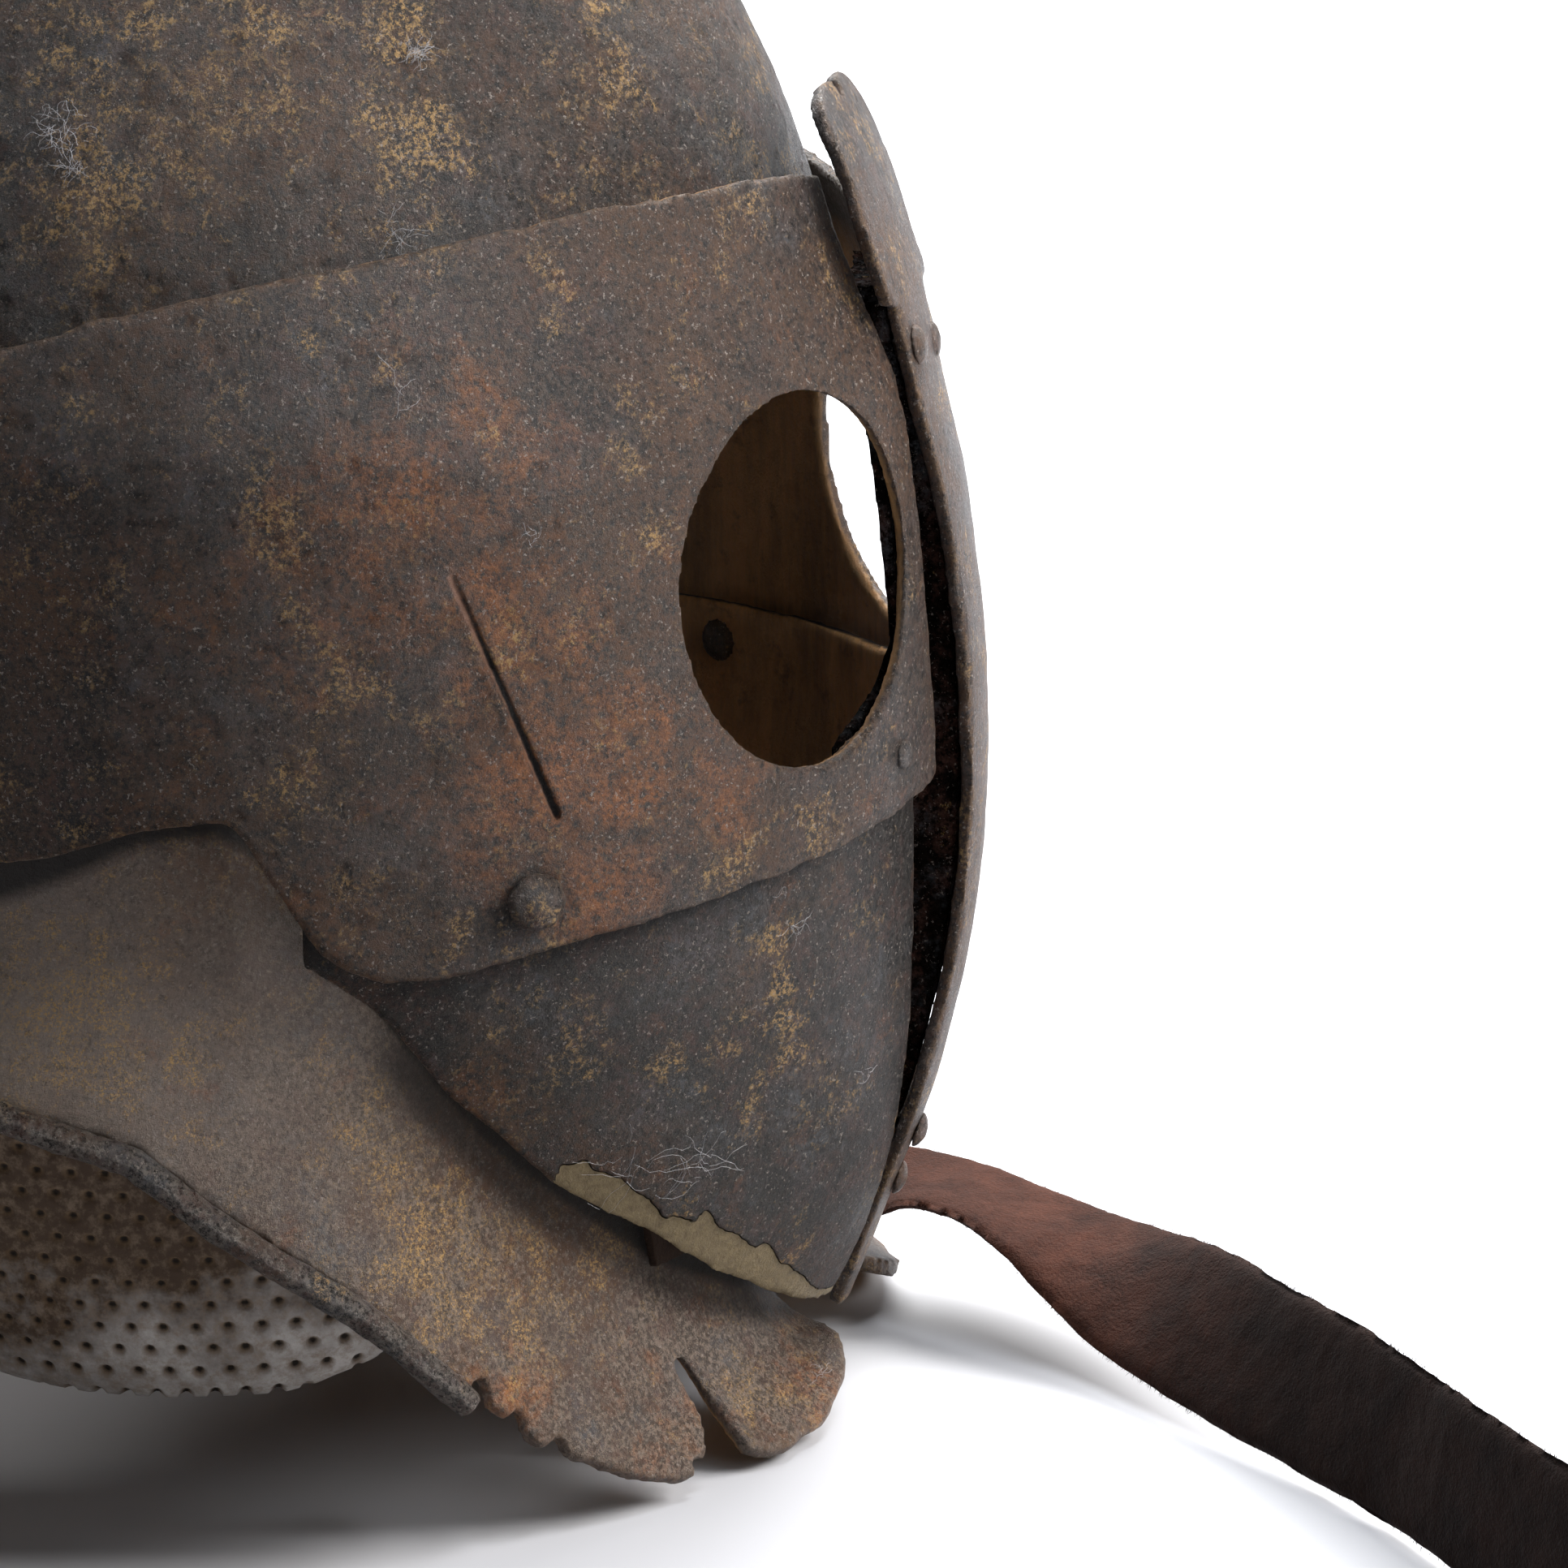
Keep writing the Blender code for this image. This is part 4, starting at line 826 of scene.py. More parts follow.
M = {
    "skull": iron("skull_iron", (0.004, 0.0034, 0.0029), (0.060, 0.046, 0.037), 0.75, 0.85, (), DOME_OCHRE,
                  grit=1.15, shine=0.32),
    "guard": iron("guard_iron", (0.006, 0.0045, 0.0036), (0.084, 0.057, 0.042), 1.0, 0.6, GUARD_RUST,
                  GUARD_OCHRE, cut=CUT),
    "chin": iron("chin_iron", (0.005, 0.0043, 0.0037), (0.046, 0.038, 0.032), 0.45, 0.5, CHIN_RUST,
                 CHIN_OCHRE),
    "strip": iron("strip_iron", (0.016, 0.011, 0.009), (0.088, 0.068, 0.060), 0.9, 0.9, grit=0.75,
                  edge=(0.25, 0.15, 0.075)),
    # Near black with no specular reflection: painted shade of the dark channel behind the front strip.
    "keel": iron("keel_iron", (0.003, 0.0025, 0.002), (0.008, 0.006, 0.005), 0.0, 0.0, grit=0.3, shine=0.7,
                 level=0.0, metal=0.0),
    "collar": iron("collar_iron", (0.070, 0.052, 0.039), (0.225, 0.172, 0.135), 0.75, 0.75, COLLAR_RUST,
                   COLLAR_OCHRE, grit=0.42, shine=0.38, flecks=1700, sheen_spots=COLLAR_SHEEN),
    "bead": iron("bead_iron", (0.020, 0.016, 0.013), (0.185, 0.158, 0.134), 0.6, 0.6, grit=0.6, shine=0.28),
    "rivet": iron("rivet_iron", (0.014, 0.010, 0.008), (0.070, 0.050, 0.038), 0.9, 0.4, grit=0.45, shine=0.3),
    "leather": leather("liner_leather", (0.050, 0.026, 0.015), (0.150, 0.085, 0.050)),
    "dark_leather": leather("dark_leather", (0.006, 0.004, 0.003), (0.030, 0.017, 0.011)),
    "pad": padding(),
    "strap": strap_suede(),
    "brass": brass(),
    "lint": lint(),
}


# ---------------------------------------------------------------- chin strap, which comes first

STRAP_ROUTE = [(91.4, 39.2, 42.5, 0), (92.4, 39.6, 38.5, 0), (93.8, 40.3, 34, 0), (96, 40.8, 29.2, 0),
               (99.6, 41, 25, 2), (104, 40.4, 21.2, 6), (108.5, 39.4, 18.8, 8), (113, 38.2, 18.2, 7),
               (118, 37, 18.8, 3), (125, 34, 19.4, -3), (132, 30, 19, -6), (138.5, 26, 18.2, -4),
               (145, 21, 17, 0), (152, 15, 15.6, 11), (159, 8, 14.6, 26), (167, -1.5, 14.1, 42),
               (176, -12, 14, 52), (185, -22.5, 14, 60), (194, -32.5, 14, 67), (203, -43, 14, 72),
               (212, -54, 14, 77), (220, -65.5, 14, 79), (228, -77, 14, 80), (236.5, -88.5, 14, 80),
               (245, -100, 14, 80), (253.5, -111, 14, 80), (262, -122, 14, 80)]
STRAP_WIDTH = millimetres([(0, 20), (4, 21), (7, 27)], 1)
STRAP_THICK = 2.8 * MM
FIBRES = 2600


def strap_frame():
    """Function of a step along the strap: its centre, and its across and face directions."""
    front, side, up, twist = [smooth_curve(list(enumerate(values))) for values in zip(*STRAP_ROUTE)]

    def at(step):
        return place(front(step) * MM, side(step) * MM, up(step) * MM)

    def axes(step):
        ahead = (at(step + 0.05) - at(step - 0.05)).normalized()
        level = ahead.cross(UP).normalized()
        rise = level.cross(ahead)
        roll = math.radians(twist(step))
        across = level * math.cos(roll) - rise * math.sin(roll)
        return at(step), across, across.cross(ahead)

    return axes


def build_strap():
    """Flat suede strap with soft uneven edges, and the fibres that stand out of them."""
    axes = strap_frame()
    steps = span(0, len(STRAP_ROUTE) - 1, 520)
    across_count = 30
    rows = []
    wobble = [line_noise(np.array(steps), 1.1, seed) for seed in (3, 17)]
    for i, step in enumerate(steps):
        centre, across, face = axes(step)
        half = STRAP_WIDTH(step) * 0.5
        ring = []
        for side in (1, -1):
            for k in range(across_count + 1):
                a = (k / across_count * 2 - 1) * side
                edge = 0.45 * MM * wobble[0 if a > 0 else 1][i] * abs(a) ** 6
                thick = STRAP_THICK * 0.5 * (1 - abs(a) ** 10) ** 0.5 * side
                ring.append(centre + across * (a * (half - 0.3 * MM) + math.copysign(edge, a)) + face * thick)
        rows.append(ring)
    count = len(rows[0])
    points = [p for ring in rows for p in ring]
    faces = []
    for i in range(len(rows) - 1):
        for k in range(count):
            m = (k + 1) % count
            faces.append((i * count + k, i * count + m, (i + 1) * count + m, (i + 1) * count + k))
    faces.append(tuple(range(count)))
    faces.append(tuple(len(points) - count + k for k in reversed(range(count))))
    strap = mesh_object("chin_strap_suede", points, faces)
    strap.data.validate()
    spots = coordinates(strap.data)
    push(strap, 0.22 * rough(spots, 9 * MM, 3, 31) + 0.10 * rough(spots, 1.8 * MM, 2, 37))
    settle(strap, "skull", ["chin_strap"], M["strap"])
    path = [tuple(axes(step)[0]) for step in span(0, len(STRAP_ROUTE) - 1, 130)]
    length = sum((Vector(b) - Vector(a)).length for a, b in zip(path, path[1:]))
    fuzz = build_fuzz(axes)
    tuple(path[0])


def build_fuzz(axes):
    """Short fibres along both edges of the strap."""
    rng = np.random.default_rng(5)
    points, faces = [], []
    last = len(STRAP_ROUTE) - 1.05
    for _ in range(FIBRES):
        step = rng.uniform(4.5, last)
        centre, across, face = axes(step)
        side = rng.choice((-1, 1))
        root = centre + across * side * (STRAP_WIDTH(step) * 0.5 - 0.5 * MM)
        root += face * rng.uniform(-0.9, 0.9) * MM
        reach = rng.uniform(0.4, 1.3) * MM
        ahead = across.cross(face)
        lean = across * side + face * rng.uniform(-0.6, 0.6) + ahead * rng.uniform(-1, 1)
        tip = root + lean.normalized() * reach
        if tip.z < 0.4 * MM:
            continue
        wide = ahead * 0.05 * MM
        first = len(points)
        points += [root - wide, root + wide, root + face * 0.09 * MM, tip]
        faces += [(first, first + 1, first + 3), (first + 1, first + 2, first + 3),
                  (first + 2, first, first + 3), (first, first + 2, first + 1)]
    return loose_piece("strap_fuzz", points, faces, "skull", M["strap"])


build_strap()


# ---------------------------------------------------------------- iron plates

def mark_plate(obj, outline, flake=None):
    """Store distance from the edge in mm, which points face inwards, and where paint has flaked off."""
    mesh = obj.data
    spots = coordinates(mesh)
    away = edge_distance(mesh, [Vector(point) for point in outline]) / MM
    attribute(mesh, "edge", away)
    inward = (normals(mesh)[:, :2] * spots[:, :2]).sum(1)
    radius = np.linalg.norm(spots[:, :2], axis=1)
    facing = inward / np.maximum(radius, 1e-6)
    attribute(mesh, "inside", np.clip((-facing - 0.15) / 0.3, 0, 1))
    attribute(mesh, "flake", flake(spots) if flake else 0)
    attribute(mesh, "soot_and_shade", 0)
    return away


def darken(obj, amounts):
    """Add dirt and painted shade, from 0 to 1, to a piece's points."""
    attribute(obj.data, "soot_and_shade", np.clip(np.maximum(stored(obj.data, "soot_and_shade"), amounts), 0, 1))


def halo(points, centre, radius):
    """1 at a place, fading to 0 at about twice a radius, in mm."""
    away = np.linalg.norm(points - np.array(centre), axis=1) / (radius * MM)
    return np.exp(-away ** 2) * 1.2


def outline_of(points):
    """The outer points along a grid's four edges."""
    return np.concatenate([points[0], points[-1], points[:, 0], points[:, -1]])


def uneven(curve, amount, size, seed):
    """An edge curve with a hand-cut waver, in mm, over degrees of turn."""
    def value(turn):
        return curve(turn) + amount * MM * float(line_noise([turn], size, seed)[0])
    return value


def eye_axes(sign):
    """Centre of an eye hole, and its outward and level directions."""
    turn = math.radians(EYE["turn"])
    outward = Vector((sign * math.sin(turn), -math.cos(turn), 0))
    level = Vector((math.cos(turn), sign * math.sin(turn), 0))
    return place(EYE["front"], sign * EYE["side"], EYE["z"]), outward, level


def eye_cutter(sign):
    """Slightly uneven oval prism for an eye hole, and places along its wall."""
    centre, outward, level = eye_axes(sign)
    ring = []
    for k in range(EYE_POINTS):
        angle = 2 * math.pi * k / EYE_POINTS
        waver = 1 + 0.010 * float(line_noise([k / EYE_POINTS * 20], 2.2, 41)[0])
        aside = level * EYE["half"] * math.cos(angle) * waver
        ring.append(aside + UP * EYE["high"] * math.sin(angle) * waver)
    ends = [[centre + offset + outward * depth for offset in ring] for depth in (-20 * MM, 20 * MM)]
    rim = []
    for depth in np.linspace(-12 * MM, 20 * MM, 17):
        rim += [centre + offset + outward * depth for offset in ring[::2]]
    return prism("eye_cutter", *ends), rim


GOUGE = np.array([right(64.6, 87.4, 160), right(78.9, 80.6, 120.8)])


def gouge(points):
    """Depth in mm of the long cut in the right cheek, with a faint burr behind it, and how dirty it is."""
    first, last = GOUGE
    length = np.linalg.norm(last - first)
    share = np.clip(((points - first) @ (last - first)) / length ** 2, 0, 1)
    nearest = first + share[:, None] * (last - first)
    behind = (points[:, 1] - nearest[:, 1]) / MM
    away = np.linalg.norm(points - nearest, axis=1) / MM
    width = 0.3 + 0.35 * share
    cut_in = np.exp(-(away / width) ** 2)
    burr = np.exp(-((away - 1.3) / 0.5) ** 2) * (behind > 0) * np.sin(share * math.pi)
    return -0.8 * cut_in * (0.3 + 0.7 * share) + 0.14 * burr, cut_in * 0.2 * share


def lower_top(turn):
    """The left plate's top edge, which is cut lower at the brow than the right one's."""
    return GUARD_TOP(turn) - 11 * MM * max(0, 1 - max(0, turn - 25) / 40)


LEFT_STAIN = (78.4 * MM, -79.8 * MM, 104 * MM)
SHADE_FROM = 186 * MM
SHADE_WITHIN = 75 * MM


def build_guard_plate(side, sign, size):
    """Upper face plate with its eye hole; inside the left one, where the right eye hole shows it, it has a
    dark spot and painted shade.
    """
    turns = span(7, 98, 230) + span(98.3, 110.5, 60)
    seed = 3 if side == "right" else 103
    top = GUARD_TOP if side == "right" else lower_top
    seam = uneven(GUARD_SEAM, 0.3, 3.5, seed)
    outer = grid(guard_point, turns, seam, uneven(top, 0.4, 3.0, seed + 9), 70, sign)
    plate = closed_sheet(f"guard_plate_{side}", outer, PLATE)
    cutter, rim = eye_cutter(sign)
    carve(plate, cutter)
    remesh(plate, size, 4)
    away = mark_plate(plate, list(outline_of(outer)) + rim)
    weather(plate, 0.11, 0.12, seed)
    points = coordinates(plate.data)
    inner = stored(plate.data, "inside")
    lift = -0.45 * chipping(points, away, 1.6, 3.5, seed + 60)
    if side == "right":
        depth, dirt = gouge(points)
        lift += depth * (1 - inner)
        darken(plate, dirt * (1 - inner))
    else:
        darken(plate, halo(points, LEFT_STAIN, 4.5) * inner)
        # Painted shade on the left plate's inner face, high up beside the slot behind the strip and tab.
        beside_slot = np.clip((SHADE_WITHIN - points[:, 0]) / (15 * MM), 0, 1)
        high = np.clip((points[:, 2] - SHADE_FROM) / (8 * MM), 0, 1)
        darken(plate, beside_slot * high * (inner > 0.02))
    push(plate, lift)
    rivet = coordinates(frame["nodes"][f"cheek_rivet_{side}"].data)
    # Dark halo round the cheek rivet: dirt, and painted shade where the head meets the plate.
    darken(plate, halo(coordinates(plate.data), rivet.mean(0), 5.2) * (1 - inner) * 0.85)
    settle(plate, "visor", [f"visor_plate_{side}"], M["guard"])


def flaked_strip(points):
    """Where the paint is gone along the right lower plate's edge: above 0.5 it is bare."""
    front = -points[:, 1] / MM
    edge = np.interp(front, [52, 66, 75, 86, 92, 97, 101, 104.4, 107, 108.5, 110.5],
                     [89, 68, 59, 44.7, 38.3, 32.5, 28, 23.9, 20.4, 17.5, 14.5])
    wide = np.interp(front, [66, 73, 75, 80, 85, 90, 94, 97, 101, 105, 108, 111],
                     [-3, -3, 0.8, 6, 8.5, 7, 8, 12, 10.5, 10, 8, 4])
    wide = wide + 1.6 * rough(points, 5 * MM, 4, 71)
    rise = points[:, 2] / MM - edge
    return np.where(points[:, 0] < 0, np.clip(0.5 + (wide - rise) * 0.6, 0, 1), 0) * (wide > 0.6)


def build_chin_plate(side, sign, size):
    """Lower face plate, tucked under the upper one."""
    seed = 23 if side == "right" else 123
    outer = grid(chin_point, span(7, 71, 190), uneven(CHIN_EDGE, 0.35, 2.5, seed), CHIN_TOP, 90, sign)
    plate = closed_sheet(f"lower_plate_{side}", outer, PLATE)
    remesh(plate, size, 3)
    away = mark_plate(plate, outline_of(outer), flaked_strip)
    weather(plate, 0.07, 0.08, seed, 0.2)
    points = coordinates(plate.data)
    bare = flaked_strip(points)
    push(plate, -0.28 * np.clip((bare - 0.35) / 0.3, 0, 1) - 0.4 * chipping(points, away, 1.4, 3, seed + 60))
    # Darker where the upper plate overlaps and just below its edge: painted shade under the overlap.
    turn = np.degrees(np.arctan2(np.abs(points[:, 0]) * 1.35, -points[:, 1]))
    seam = np.interp(turn, [7, 24, 40, 52, 64, 69], [110, 106, 102.5, 99, 95, 99])
    inner = stored(plate.data, "inside")
    darken(plate, np.exp(-(np.maximum(seam - points[:, 2] / MM, 0) / 1.6) ** 2) * 0.8 * (1 - inner))
    settle(plate, "visor", [f"chin_plate_{side}"], M["chin"])


def build_dome():
    """The skull: one beaten shell, open at the face and the neck, with a cap that closes its top."""
    turns = list(range(360))
    rows = 110

    def low(turn):
        return skull_rise(SKULL_EDGE(folded(turn)) + 0.3 * MM * float(line_noise([turn], 4, 5)[0]))

    outer = grid(skull_point, turns, low, lambda turn: 0.985, rows)
    dome = closed_sheet("dome", outer, PLATE, True)
    cap_rows = len(turns) * rows
    count = len(turns) * (rows + 1)
    ring = range(cap_rows, cap_rows + len(turns))

    def joins_rings(face):
        return sum(v in ring for v in face) == 2 and sum(v - count in ring for v in face) == 2

    faces = [tuple(p.vertices) for p in dome.data.polygons if not joins_rings(p.vertices)]
    points = coordinates(dome.data).tolist()
    top = len(points)
    peak = SKULL["widest"] + SKULL["dome"]
    points += [[0, 0, peak], [0, 0, peak - PLATE]]
    for j in range(len(turns)):
        m = (j + 1) % len(turns)
        faces.append((cap_rows + j, cap_rows + m, top))
        faces.append((cap_rows + count + m, cap_rows + count + j, top + 1))
    made = bpy.data.meshes.new("dome")
    made.from_pydata(points, [], faces)
    dome.data = made
    remesh(dome, 1.2 * MM, 3)
    mark_plate(dome, outer[0])
    weather(dome, 0.20, 0.20, 43, 0.4)
    settle(dome, "skull", ["skull_shell"], M["skull"])


TORN_EDGE = smooth_curve([(10.5, 0.80), (12, 0.86), (14.5, 0.92), (17, 0.955), (20, 0.975), (24, 0.985),
                          (27.5, 0.975), (29.5, 0.955), (31, 0.93), (34, 0.93), (35.6, 0.95), (37, 0.975),
                          (39, 0.985), (43, 0.98), (47, 0.97), (48.6, 0.965), (49.6, 0.93), (50.8, 0.965),
                          (52.2, 0.965), (53.0, 0.915), (54.0, 0.958), (55.2, 0.955), (55.9, 0.915),
                          (57, 0.955)])


LOBE = right(96, 62, 8)


def build_collar():
    """Flared collar with its torn and split right front lobe."""
    half = span(10.5, 57, 230) + span(57.3, 125, 190) + span(125.6, 180, 90)
    turns = half + [360 - turn for turn in reversed(half[:-1])]

    def point(turn, drop):
        front, side, up = collar_point(folded(turn), drop)
        return front, side if turn <= 180 else -side, up

    def rim(turn):
        ragged = float(line_noise([turn], 1.6, 51)[0])
        near = folded(turn)
        if near < 57:
            torn = TORN_EDGE(near) if turn > 180 else min(1.0, TORN_EDGE(near) + 0.012)
            return torn + 0.009 * ragged
        return 0.975 if near <= 124 else 0.985 + 0.003 * ragged

    outer = grid(point, turns, lambda turn: 0, rim, 90)
    collar = closed_sheet("collar_plate", outer, COLLAR["thick"])
    carve(collar, split_cutter())
    remesh(collar, 0.95 * MM, 3)
    away = mark_plate(collar, outline_of(outer))
    weather(collar, 0.08, 0.035, 83, 0.45)
    points = coordinates(collar.data)
    lobe = np.exp(-(np.linalg.norm(points - np.array(LOBE), axis=1) / (15 * MM)) ** 2)
    push(collar, 0.7 * lobe * rough(points, 10 * MM, 2, 90) - 0.5 * chipping(points, away, 2.2, 4, 61))
    points = coordinates(collar.data)
    # Painted shade: the collar darkens in the recess above its crest and next to the face plates' lower
    # edges, which overhang it.
    under = []
    for turn in span(8, 72, 160):
        height = CHIN_EDGE(turn) if turn < 63 else GUARD_SEAM(turn)
        front, side, up = chin_point(turn, height) if turn < 63 else guard_point(turn, height)
        under += [Vector((side, -front, up)), Vector((-side, -front, up))]
    near = edge_distance(collar.data, under) / MM
    turns_here = np.degrees(np.arctan2(np.abs(points[:, 0]) * 1.2, -points[:, 1]))
    crest = np.interp(turns_here, np.arange(10, 181, 2), [CREST_Z(t) / MM for t in range(10, 181, 2)])
    hidden = np.clip((points[:, 2] / MM - crest + 0.5) / 2.5, 0, 1)
    darken(collar, np.maximum(hidden, 1.15 * np.exp(-(near / 7.0) ** 2)))
    settle(collar, "skull", ["collar"], M["collar"])


SPLIT = [(36.7, 0.655), (35.6, 0.75), (34.6, 0.85), (34.8, 0.93), (35.6, 0.955), (36.8, 0.93), (37.4, 1.08),
         (28.4, 1.08), (30.4, 0.93), (31.6, 0.84), (33.3, 0.75), (35.4, 0.655)]


def split_cutter():
    """The torn slit in the right front lobe: its outline in turn and drop, pushed through the plate."""
    ahead = math.cos(math.radians(38))
    aside = math.sin(math.radians(38))
    rings = []
    for reach in (-7 * MM, 7 * MM):
        ring = []
        for turn, drop in SPLIT:
            front, side, up = collar_point(turn, min(drop, 1.0))
            up -= max(drop - 1.0, 0) * 0.12
            ring.append(place(front + reach * ahead, -(side + reach * aside), up))
        rings.append(ring)
    return prism("split", *rings)


def build_strip():
    """Front strip with its lifting tab: worn edges, and a notch in the tab's end."""
    heights = span(11 * MM, TAB_STEP - 0.4 * MM, 300) + span(TAB_STEP + 0.4 * MM, TAB_TOP, 70)
    cols = 27
    outer = np.zeros((len(heights), cols, 3))
    for i, height in enumerate(heights):
        half = STRIP_HALF(height) if height < TAB_STEP else TAB_HALF(height)
        wavers = [0.6 * MM * float(line_noise([height / MM], 7, seed)[0]) for seed in (7, 8)]
        for j in range(cols):
            a = j / (cols - 1) * 2 - 1
            wide = half + wavers[0 if a < 0 else 1] * abs(a) - 0.2 * MM
            dip = 3.5 * MM * math.exp(-((a + 0.1) / 0.2) ** 2)
            near_end = max(0, (height - TAB_TOP + 6 * MM) / (6 * MM))
            top = height - dip * near_end
            lifted = max(0, (top - TAB_STEP) / (TAB_TOP - TAB_STEP))
            reach = STRIP_REACH(top) + 1.5 * MM * lifted ** 2 - 1.0 * MM * a * a
            outer[i, j] = (a * wide, -reach, top)
    strip = closed_sheet("front_strip_iron", outer, PLATE)
    remesh(strip, 0.6 * MM, 3)
    away = mark_plate(strip, outline_of(outer))
    attribute(strip.data, "inside", 0)
    weather(strip, 0.10, 0.09, 63, 0.15)
    push(strip, -0.5 * chipping(coordinates(strip.data), away, 1.5, 4, 64))
    settle(strip, "visor", ["front_strip"], M["strip"])


def refine(node, name, body, material, size, smoothing, lump, seed, growth=1.0):
    """A CAD node's shape, remeshed finely, rounded and weathered; growth widens a rivet's head."""
    made = node_copy(node, name)
    if growth != 1:
        points = coordinates(made.data)
        offset = points - points.mean(0)
        outward = points.mean(0) * (1.4, 1, 0)
        outward /= np.linalg.norm(outward)
        tall = (offset @ outward)[:, None] * outward
        set_coordinates(made.data, points.mean(0) + (offset - tall) * growth + tall * 0.9)
    remesh(made, size * MM, smoothing)
    for label, value in (("edge", 3), ("inside", 0), ("flake", 0), ("soot_and_shade", 0)):
        attribute(made.data, label, value)
    points = coordinates(made.data)
    push(made, lump * rough(points, 1.6 * MM, 2, seed) + lump * 1.2 * rough(points, 5 * MM, 2, seed + 3))
    return settle(made, body, [node], material)


def build_small_iron():
    """Rivets, bolts, nuts, beads and the keel."""
    seed = 200
    for body, members in frame["record"]["behaviour"]["bodies"].items():
        for node in members:
            seed += 7
            if "rivet" in node:
                growth = 1.3 if node.startswith(("nose_rivet", "cheek_rivet")) else 1.1
                rivet = refine(node, f"{node}_head", body, M["rivet"], 0.34, 6, 0.10, seed,
                               growth)
                if node.startswith("strip_rivet_top"):
                    points = coordinates(rivet.data)
                    drop = 2.2 if node.endswith("right") else 4.4
                    set_coordinates(rivet.data, points + np.array((0, -0.35, -drop)) * MM)
            elif node.startswith(("temple_bolt", "temple_nut")):
                refine(node, f"{node}_iron", body, M["rivet"], 0.4, 4, 0.05, seed)
            elif node.startswith("rim_bead"):
                refine(node, f"{node}_iron", body, M["bead"], 0.55, 6, 0.14, seed)
    # The keel is near black as painted shade of the channel behind the strip.
    refine("centre_keel", "keel_iron", "visor", M["keel"], 0.8, 3, 0.08, 900)


# ---------------------------------------------------------------- padding and leather

def swell(obj, pressure, cap, frames=16):
    """Blow a closed pad up a little with cloth, holding every point within a cap of where it was."""
    before = coordinates(obj.data)
    cloth = obj.modifiers.new("cloth", "CLOTH")
    cloth.settings.use_pressure = True
    cloth.settings.uniform_pressure_force = pressure
    cloth.settings.effector_weights.gravity = 0
    cloth.settings.quality = 4
    cloth.settings.tension_stiffness = 20
    cloth.settings.bending_stiffness = 2
    cloth.point_cache.frame_end = frames
    for step in range(1, frames + 1):
        bpy.context.scene.frame_set(step)
    apply_modifiers(obj)
    bpy.context.scene.frame_set(1)
    move = coordinates(obj.data) - before
    size = np.linalg.norm(move, axis=1, keepdims=True)
    move *= np.minimum(1, cap / np.maximum(size, 1e-9))
    set_coordinates(obj.data, before + move)


def perforate(obj, pitch=4.8 * MM, radius=1.25 * MM):
    """Staggered rows of small holes, pressed in and marked for the material."""
    points = coordinates(obj.data)
    turn = turns_of(points)
    along = turn * 80 * MM + 0.35 * MM * rough(points, 12 * MM, 2, 5)
    down = points[:, 2] * 1.12 - np.linalg.norm(points[:, :2], axis=1) * 0.55
    row_high = pitch * 0.86
    row = np.round(down / row_high)
    shift = np.where(row.astype(int) % 2 == 0, 0, pitch / 2)
    col = np.round((along - shift) / pitch)
    away = np.hypot(along - shift - col * pitch, down - row * row_high)
    hole = np.clip(1.25 - away / radius, 0, 1)
    attribute(obj.data, "hole", hole)
    push(obj, 0.12 * rough(points, 7 * MM, 2, 9) - 0.9 * np.clip(hole * 1.6 - 0.3, 0, 1))


def build_pads():
    """Neck pads and nape pad: foam cushions in a perforated white cover."""
    for node in ("neck_pad_right", "neck_pad_left", "nape_pad"):
        pad = node_copy(node, f"{node}_cover")
        remesh(pad, 4.5 * MM, 2)
        swell(pad, 3.0, 1.6 * MM)
        soft = pad.modifiers.new("subdivide", "SUBSURF")
        soft.levels = soft.render_levels = 1
        apply_modifiers(pad)
        remesh(pad, (0.62 if node == "neck_pad_right" else 0.9) * MM, 4)
        perforate(pad)
        settle(pad, "skull", [node], M["pad"])


def build_liners():
    """Quilted crown liner and stitched sweatband."""
    liner = node_copy("crown_liner", "crown_quilt")
    remesh(liner, 1.5 * MM, 6)
    points = coordinates(liner.data)
    turn = turns_of(points)
    quilt = turn / (2 * math.pi) * 8
    seam = np.abs(np.mod(quilt + 0.5, 1) - 0.5) / 8 * 2 * math.pi
    away = seam * np.linalg.norm(points[:, :2], axis=1)
    inner = (normals(liner.data) * (points - np.array((0, 0, 0.18)))).sum(1) < 0
    push(liner, -1.8 * np.exp(-(away / (2.5 * MM)) ** 2) * inner)
    attribute(liner.data, "hole", 0)
    settle(liner, "skull", ["crown_liner"], M["pad"])
    band = node_copy("sweatband", "sweatband_leather")
    remesh(band, 0.9 * MM, 5)
    points = coordinates(band.data)
    turn = turns_of(points)
    low = points[:, 2] - points[:, 2].min()
    stitch = np.clip(np.sin(turn * 160), 0, 1) * np.exp(-((low - 3 * MM) / (0.7 * MM)) ** 2)
    push(band, 0.25 * rough(points, 8 * MM, 3, 77) + 0.4 * stitch)
    settle(band, "skull", ["sweatband"], M["leather"])
    for node in ("temple_spacer_left", "temple_spacer_right"):
        refine(node, f"{node}_leather", "skull", M["leather"], 0.4, 3, 0.05, 310)
    refine("buckle_tab", "buckle_tab_leather", "skull", M["dark_leather"], 0.3, 3, 0.06, 320)
    refine("buckle_frame", "buckle_wire", "skull", M["brass"], 0.22, 4, 0.02, 330)
    refine("buckle_prong", "buckle_prong_wire", "prong", M["brass"], 0.22, 4, 0.02, 340)


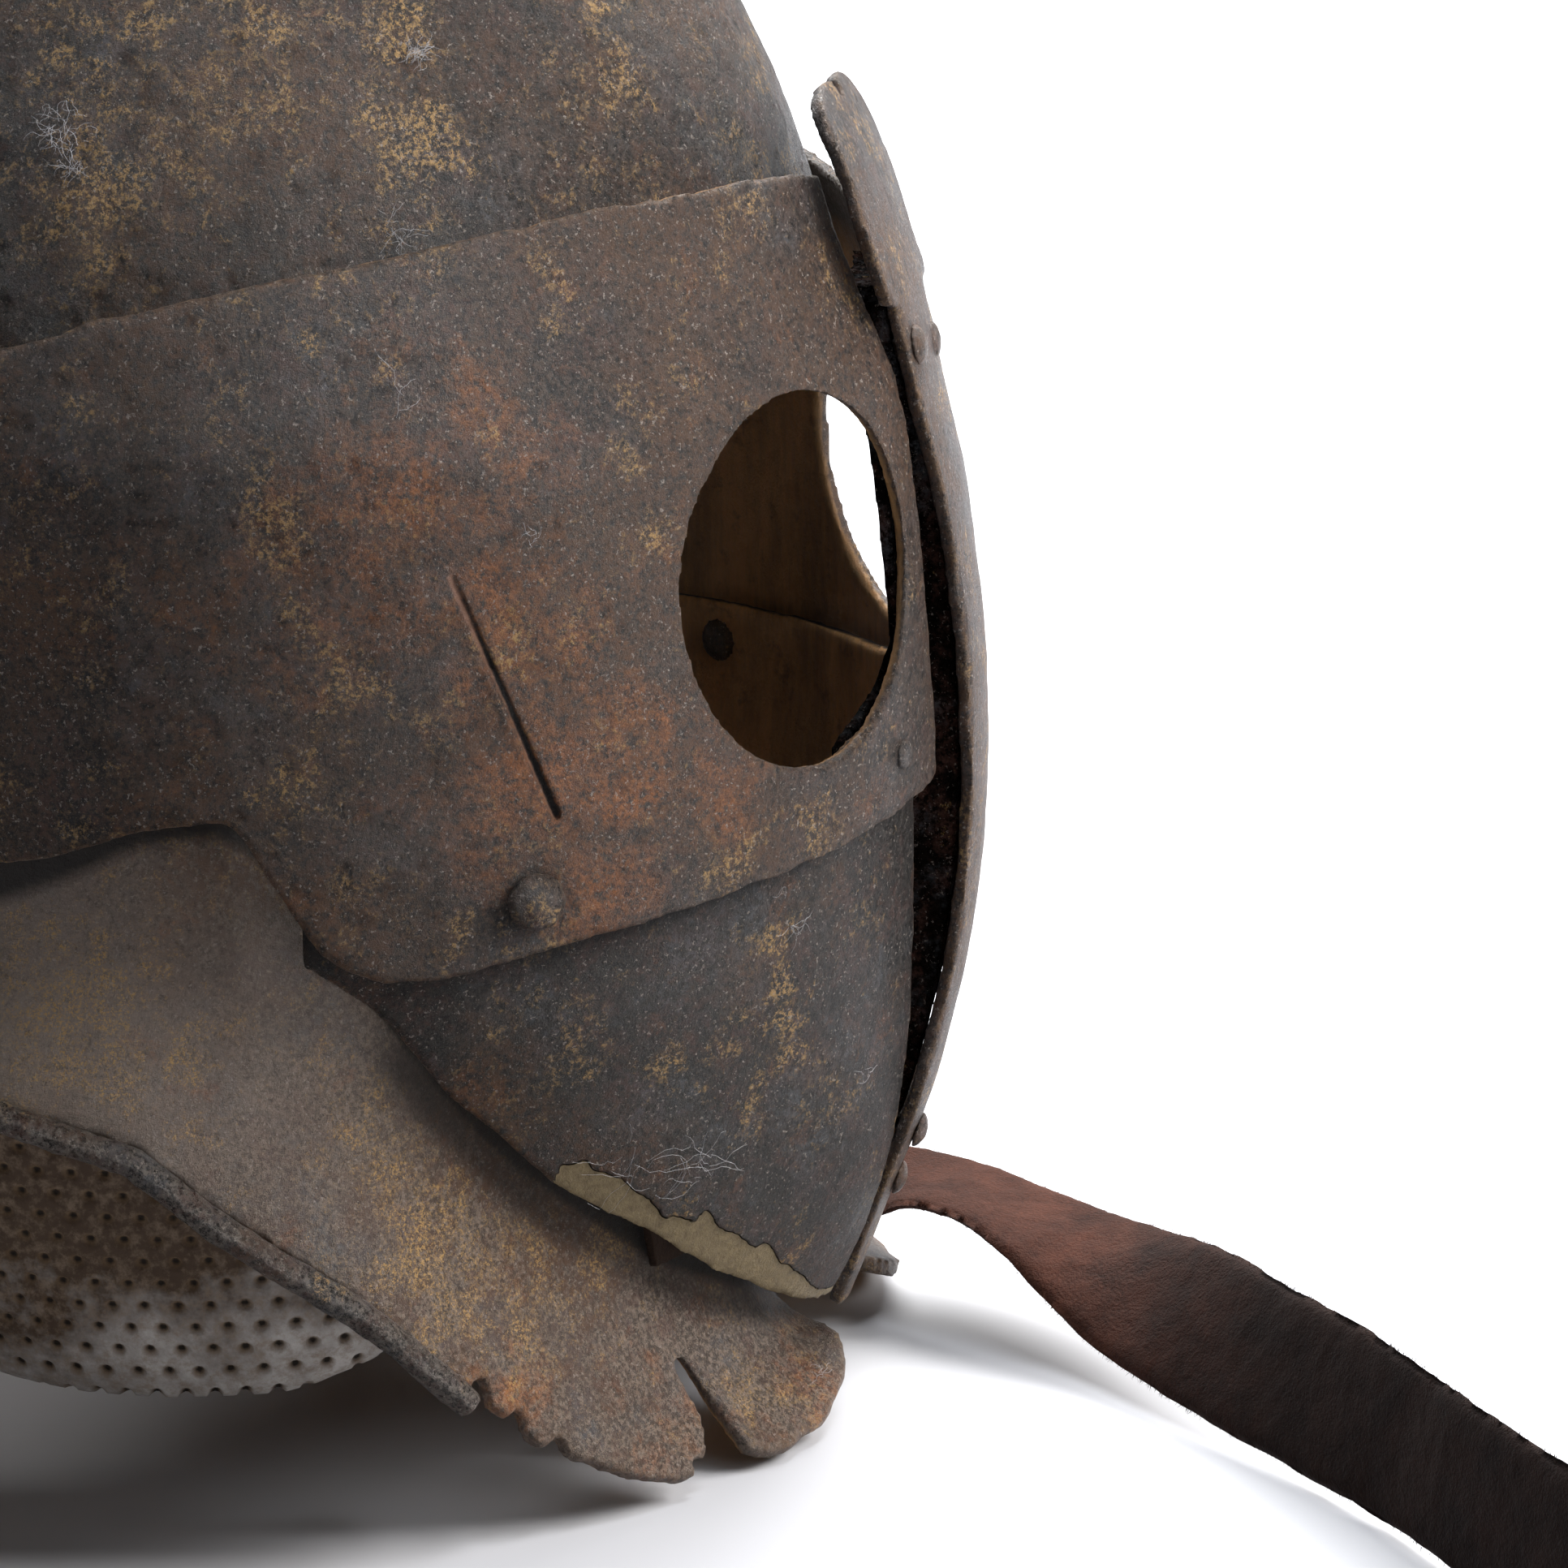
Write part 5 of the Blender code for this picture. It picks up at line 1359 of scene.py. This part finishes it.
def build_lint(name, target, body, spots, seed):
    """Cobweb hairs and dust on a piece: spots are a place on the right, a radius, a count and a length."""
    rng = np.random.default_rng(seed)
    points, faces = [], []
    for front, side, up, radius, count, length in spots:
        for _ in range(count):
            start = Vector(right(front, side, up)) + Vector(rng.normal(0, radius * 0.4, 3) * MM)
            heading = Vector(rng.normal(0, 1, 3)).normalized()
            hair = []
            for step in range(9):
                _, spot, normal, _ = target.closest_point_on_mesh(start)
                hair.append((spot + normal * (0.15 + 0.35 * math.sin(step / 8 * math.pi)) * MM, normal))
                heading = (heading + Vector(rng.normal(0, 0.35, 3))).normalized()
                start = start + heading * length * MM / 8
            first = len(points)
            for (spot, normal), (after, _) in zip(hair, hair[1:] + hair[-2:-1]):
                ahead = (after - spot).normalized()
                level = ahead.cross(normal).normalized() * 0.02 * MM
                points += [spot + level, spot - level, spot + normal * 0.035 * MM]
            for k in range(8):
                for m in range(3):
                    n = (m + 1) % 3
                    base = first + 3 * k
                    faces.append((base + m, base + n, base + 3 + n, base + 3 + m))
            faces += [(first, first + 1, first + 2), (first + 26, first + 25, first + 24)]
    loose_piece(name, points, faces, body, M["lint"])


CHIPS = 70


def build_chips():
    """Pale chips of filler that stand out of the rear rim of the right eye hole."""
    rng = np.random.default_rng(21)
    centre, outward, level = eye_axes(-1)
    plate = bpy.data.objects["guard_plate_right"]
    points, faces = [], []
    for _ in range(CHIPS):
        angle = math.pi + rng.uniform(-0.36, 0.62)
        rim = centre + level * EYE["half"] * math.cos(angle) + UP * EYE["high"] * math.sin(angle)
        _, spot, _, _ = plate.closest_point_on_mesh(rim - outward * 2 * MM)
        inward = (centre - rim).normalized()
        size = rng.uniform(0.25, 0.8) * MM * (1.6 if rng.random() < 0.12 else 1)
        first = len(points)
        for _ in range(5):
            points.append(spot + Vector(rng.normal(0, 0.55, 3)) * size + inward * size * 0.5)
        for a, b in ((1, 2), (2, 3), (3, 1)):
            faces += [(first, first + a, first + b), (first + 4, first + b, first + a)]
    loose_piece("eye_rim_chips", points, faces, "visor", M["lint"])


def build_all_lint():
    """Lint on the dome, the right face plates and the floor side of the collar."""
    pieces = bpy.data.objects
    build_lint("dome_lint", pieces["dome"], "skull",
               [(54.6, 62.9, 237, 2.2, 46, 3), (2.8, 82.7, 226, 4, 46, 5), (54, 75, 211, 3.5, 26, 4),
                (5, 84, 221, 2, 30, 3)], 11)
    build_lint("face_lint", pieces["lower_plate_right"], "visor",
               [(97, 57, 54, 5, 16, 9), (88, 63, 58, 6, 10, 14), (108, 49, 100, 1.5, 10, 4),
                (109, 47, 94, 1, 9, 6), (116, 25, 62, 2, 8, 6)], 12)
    build_lint("brow_lint", pieces["guard_plate_right"], "visor",
               [(107, 50, 113, 1.6, 16, 3), (60, 88, 190, 3, 5, 9), (76, 80, 165, 2, 5, 5)], 13)
    build_lint("collar_lint", pieces["collar_plate"], "skull",
               [(60, 92, 30, 6, 8, 10), (112, 30, 10, 2, 8, 4)], 14)


build_dome()
for side_name, side_sign, guard_size, chin_size in (("right", -1, 0.62, 0.7), ("left", 1, 0.95, 0.95)):
    build_guard_plate(side_name, side_sign, guard_size * MM)
    build_chin_plate(side_name, side_sign, chin_size * MM)
build_strip()
build_collar()
build_small_iron()
build_pads()
build_liners()
build_all_lint()
build_chips()
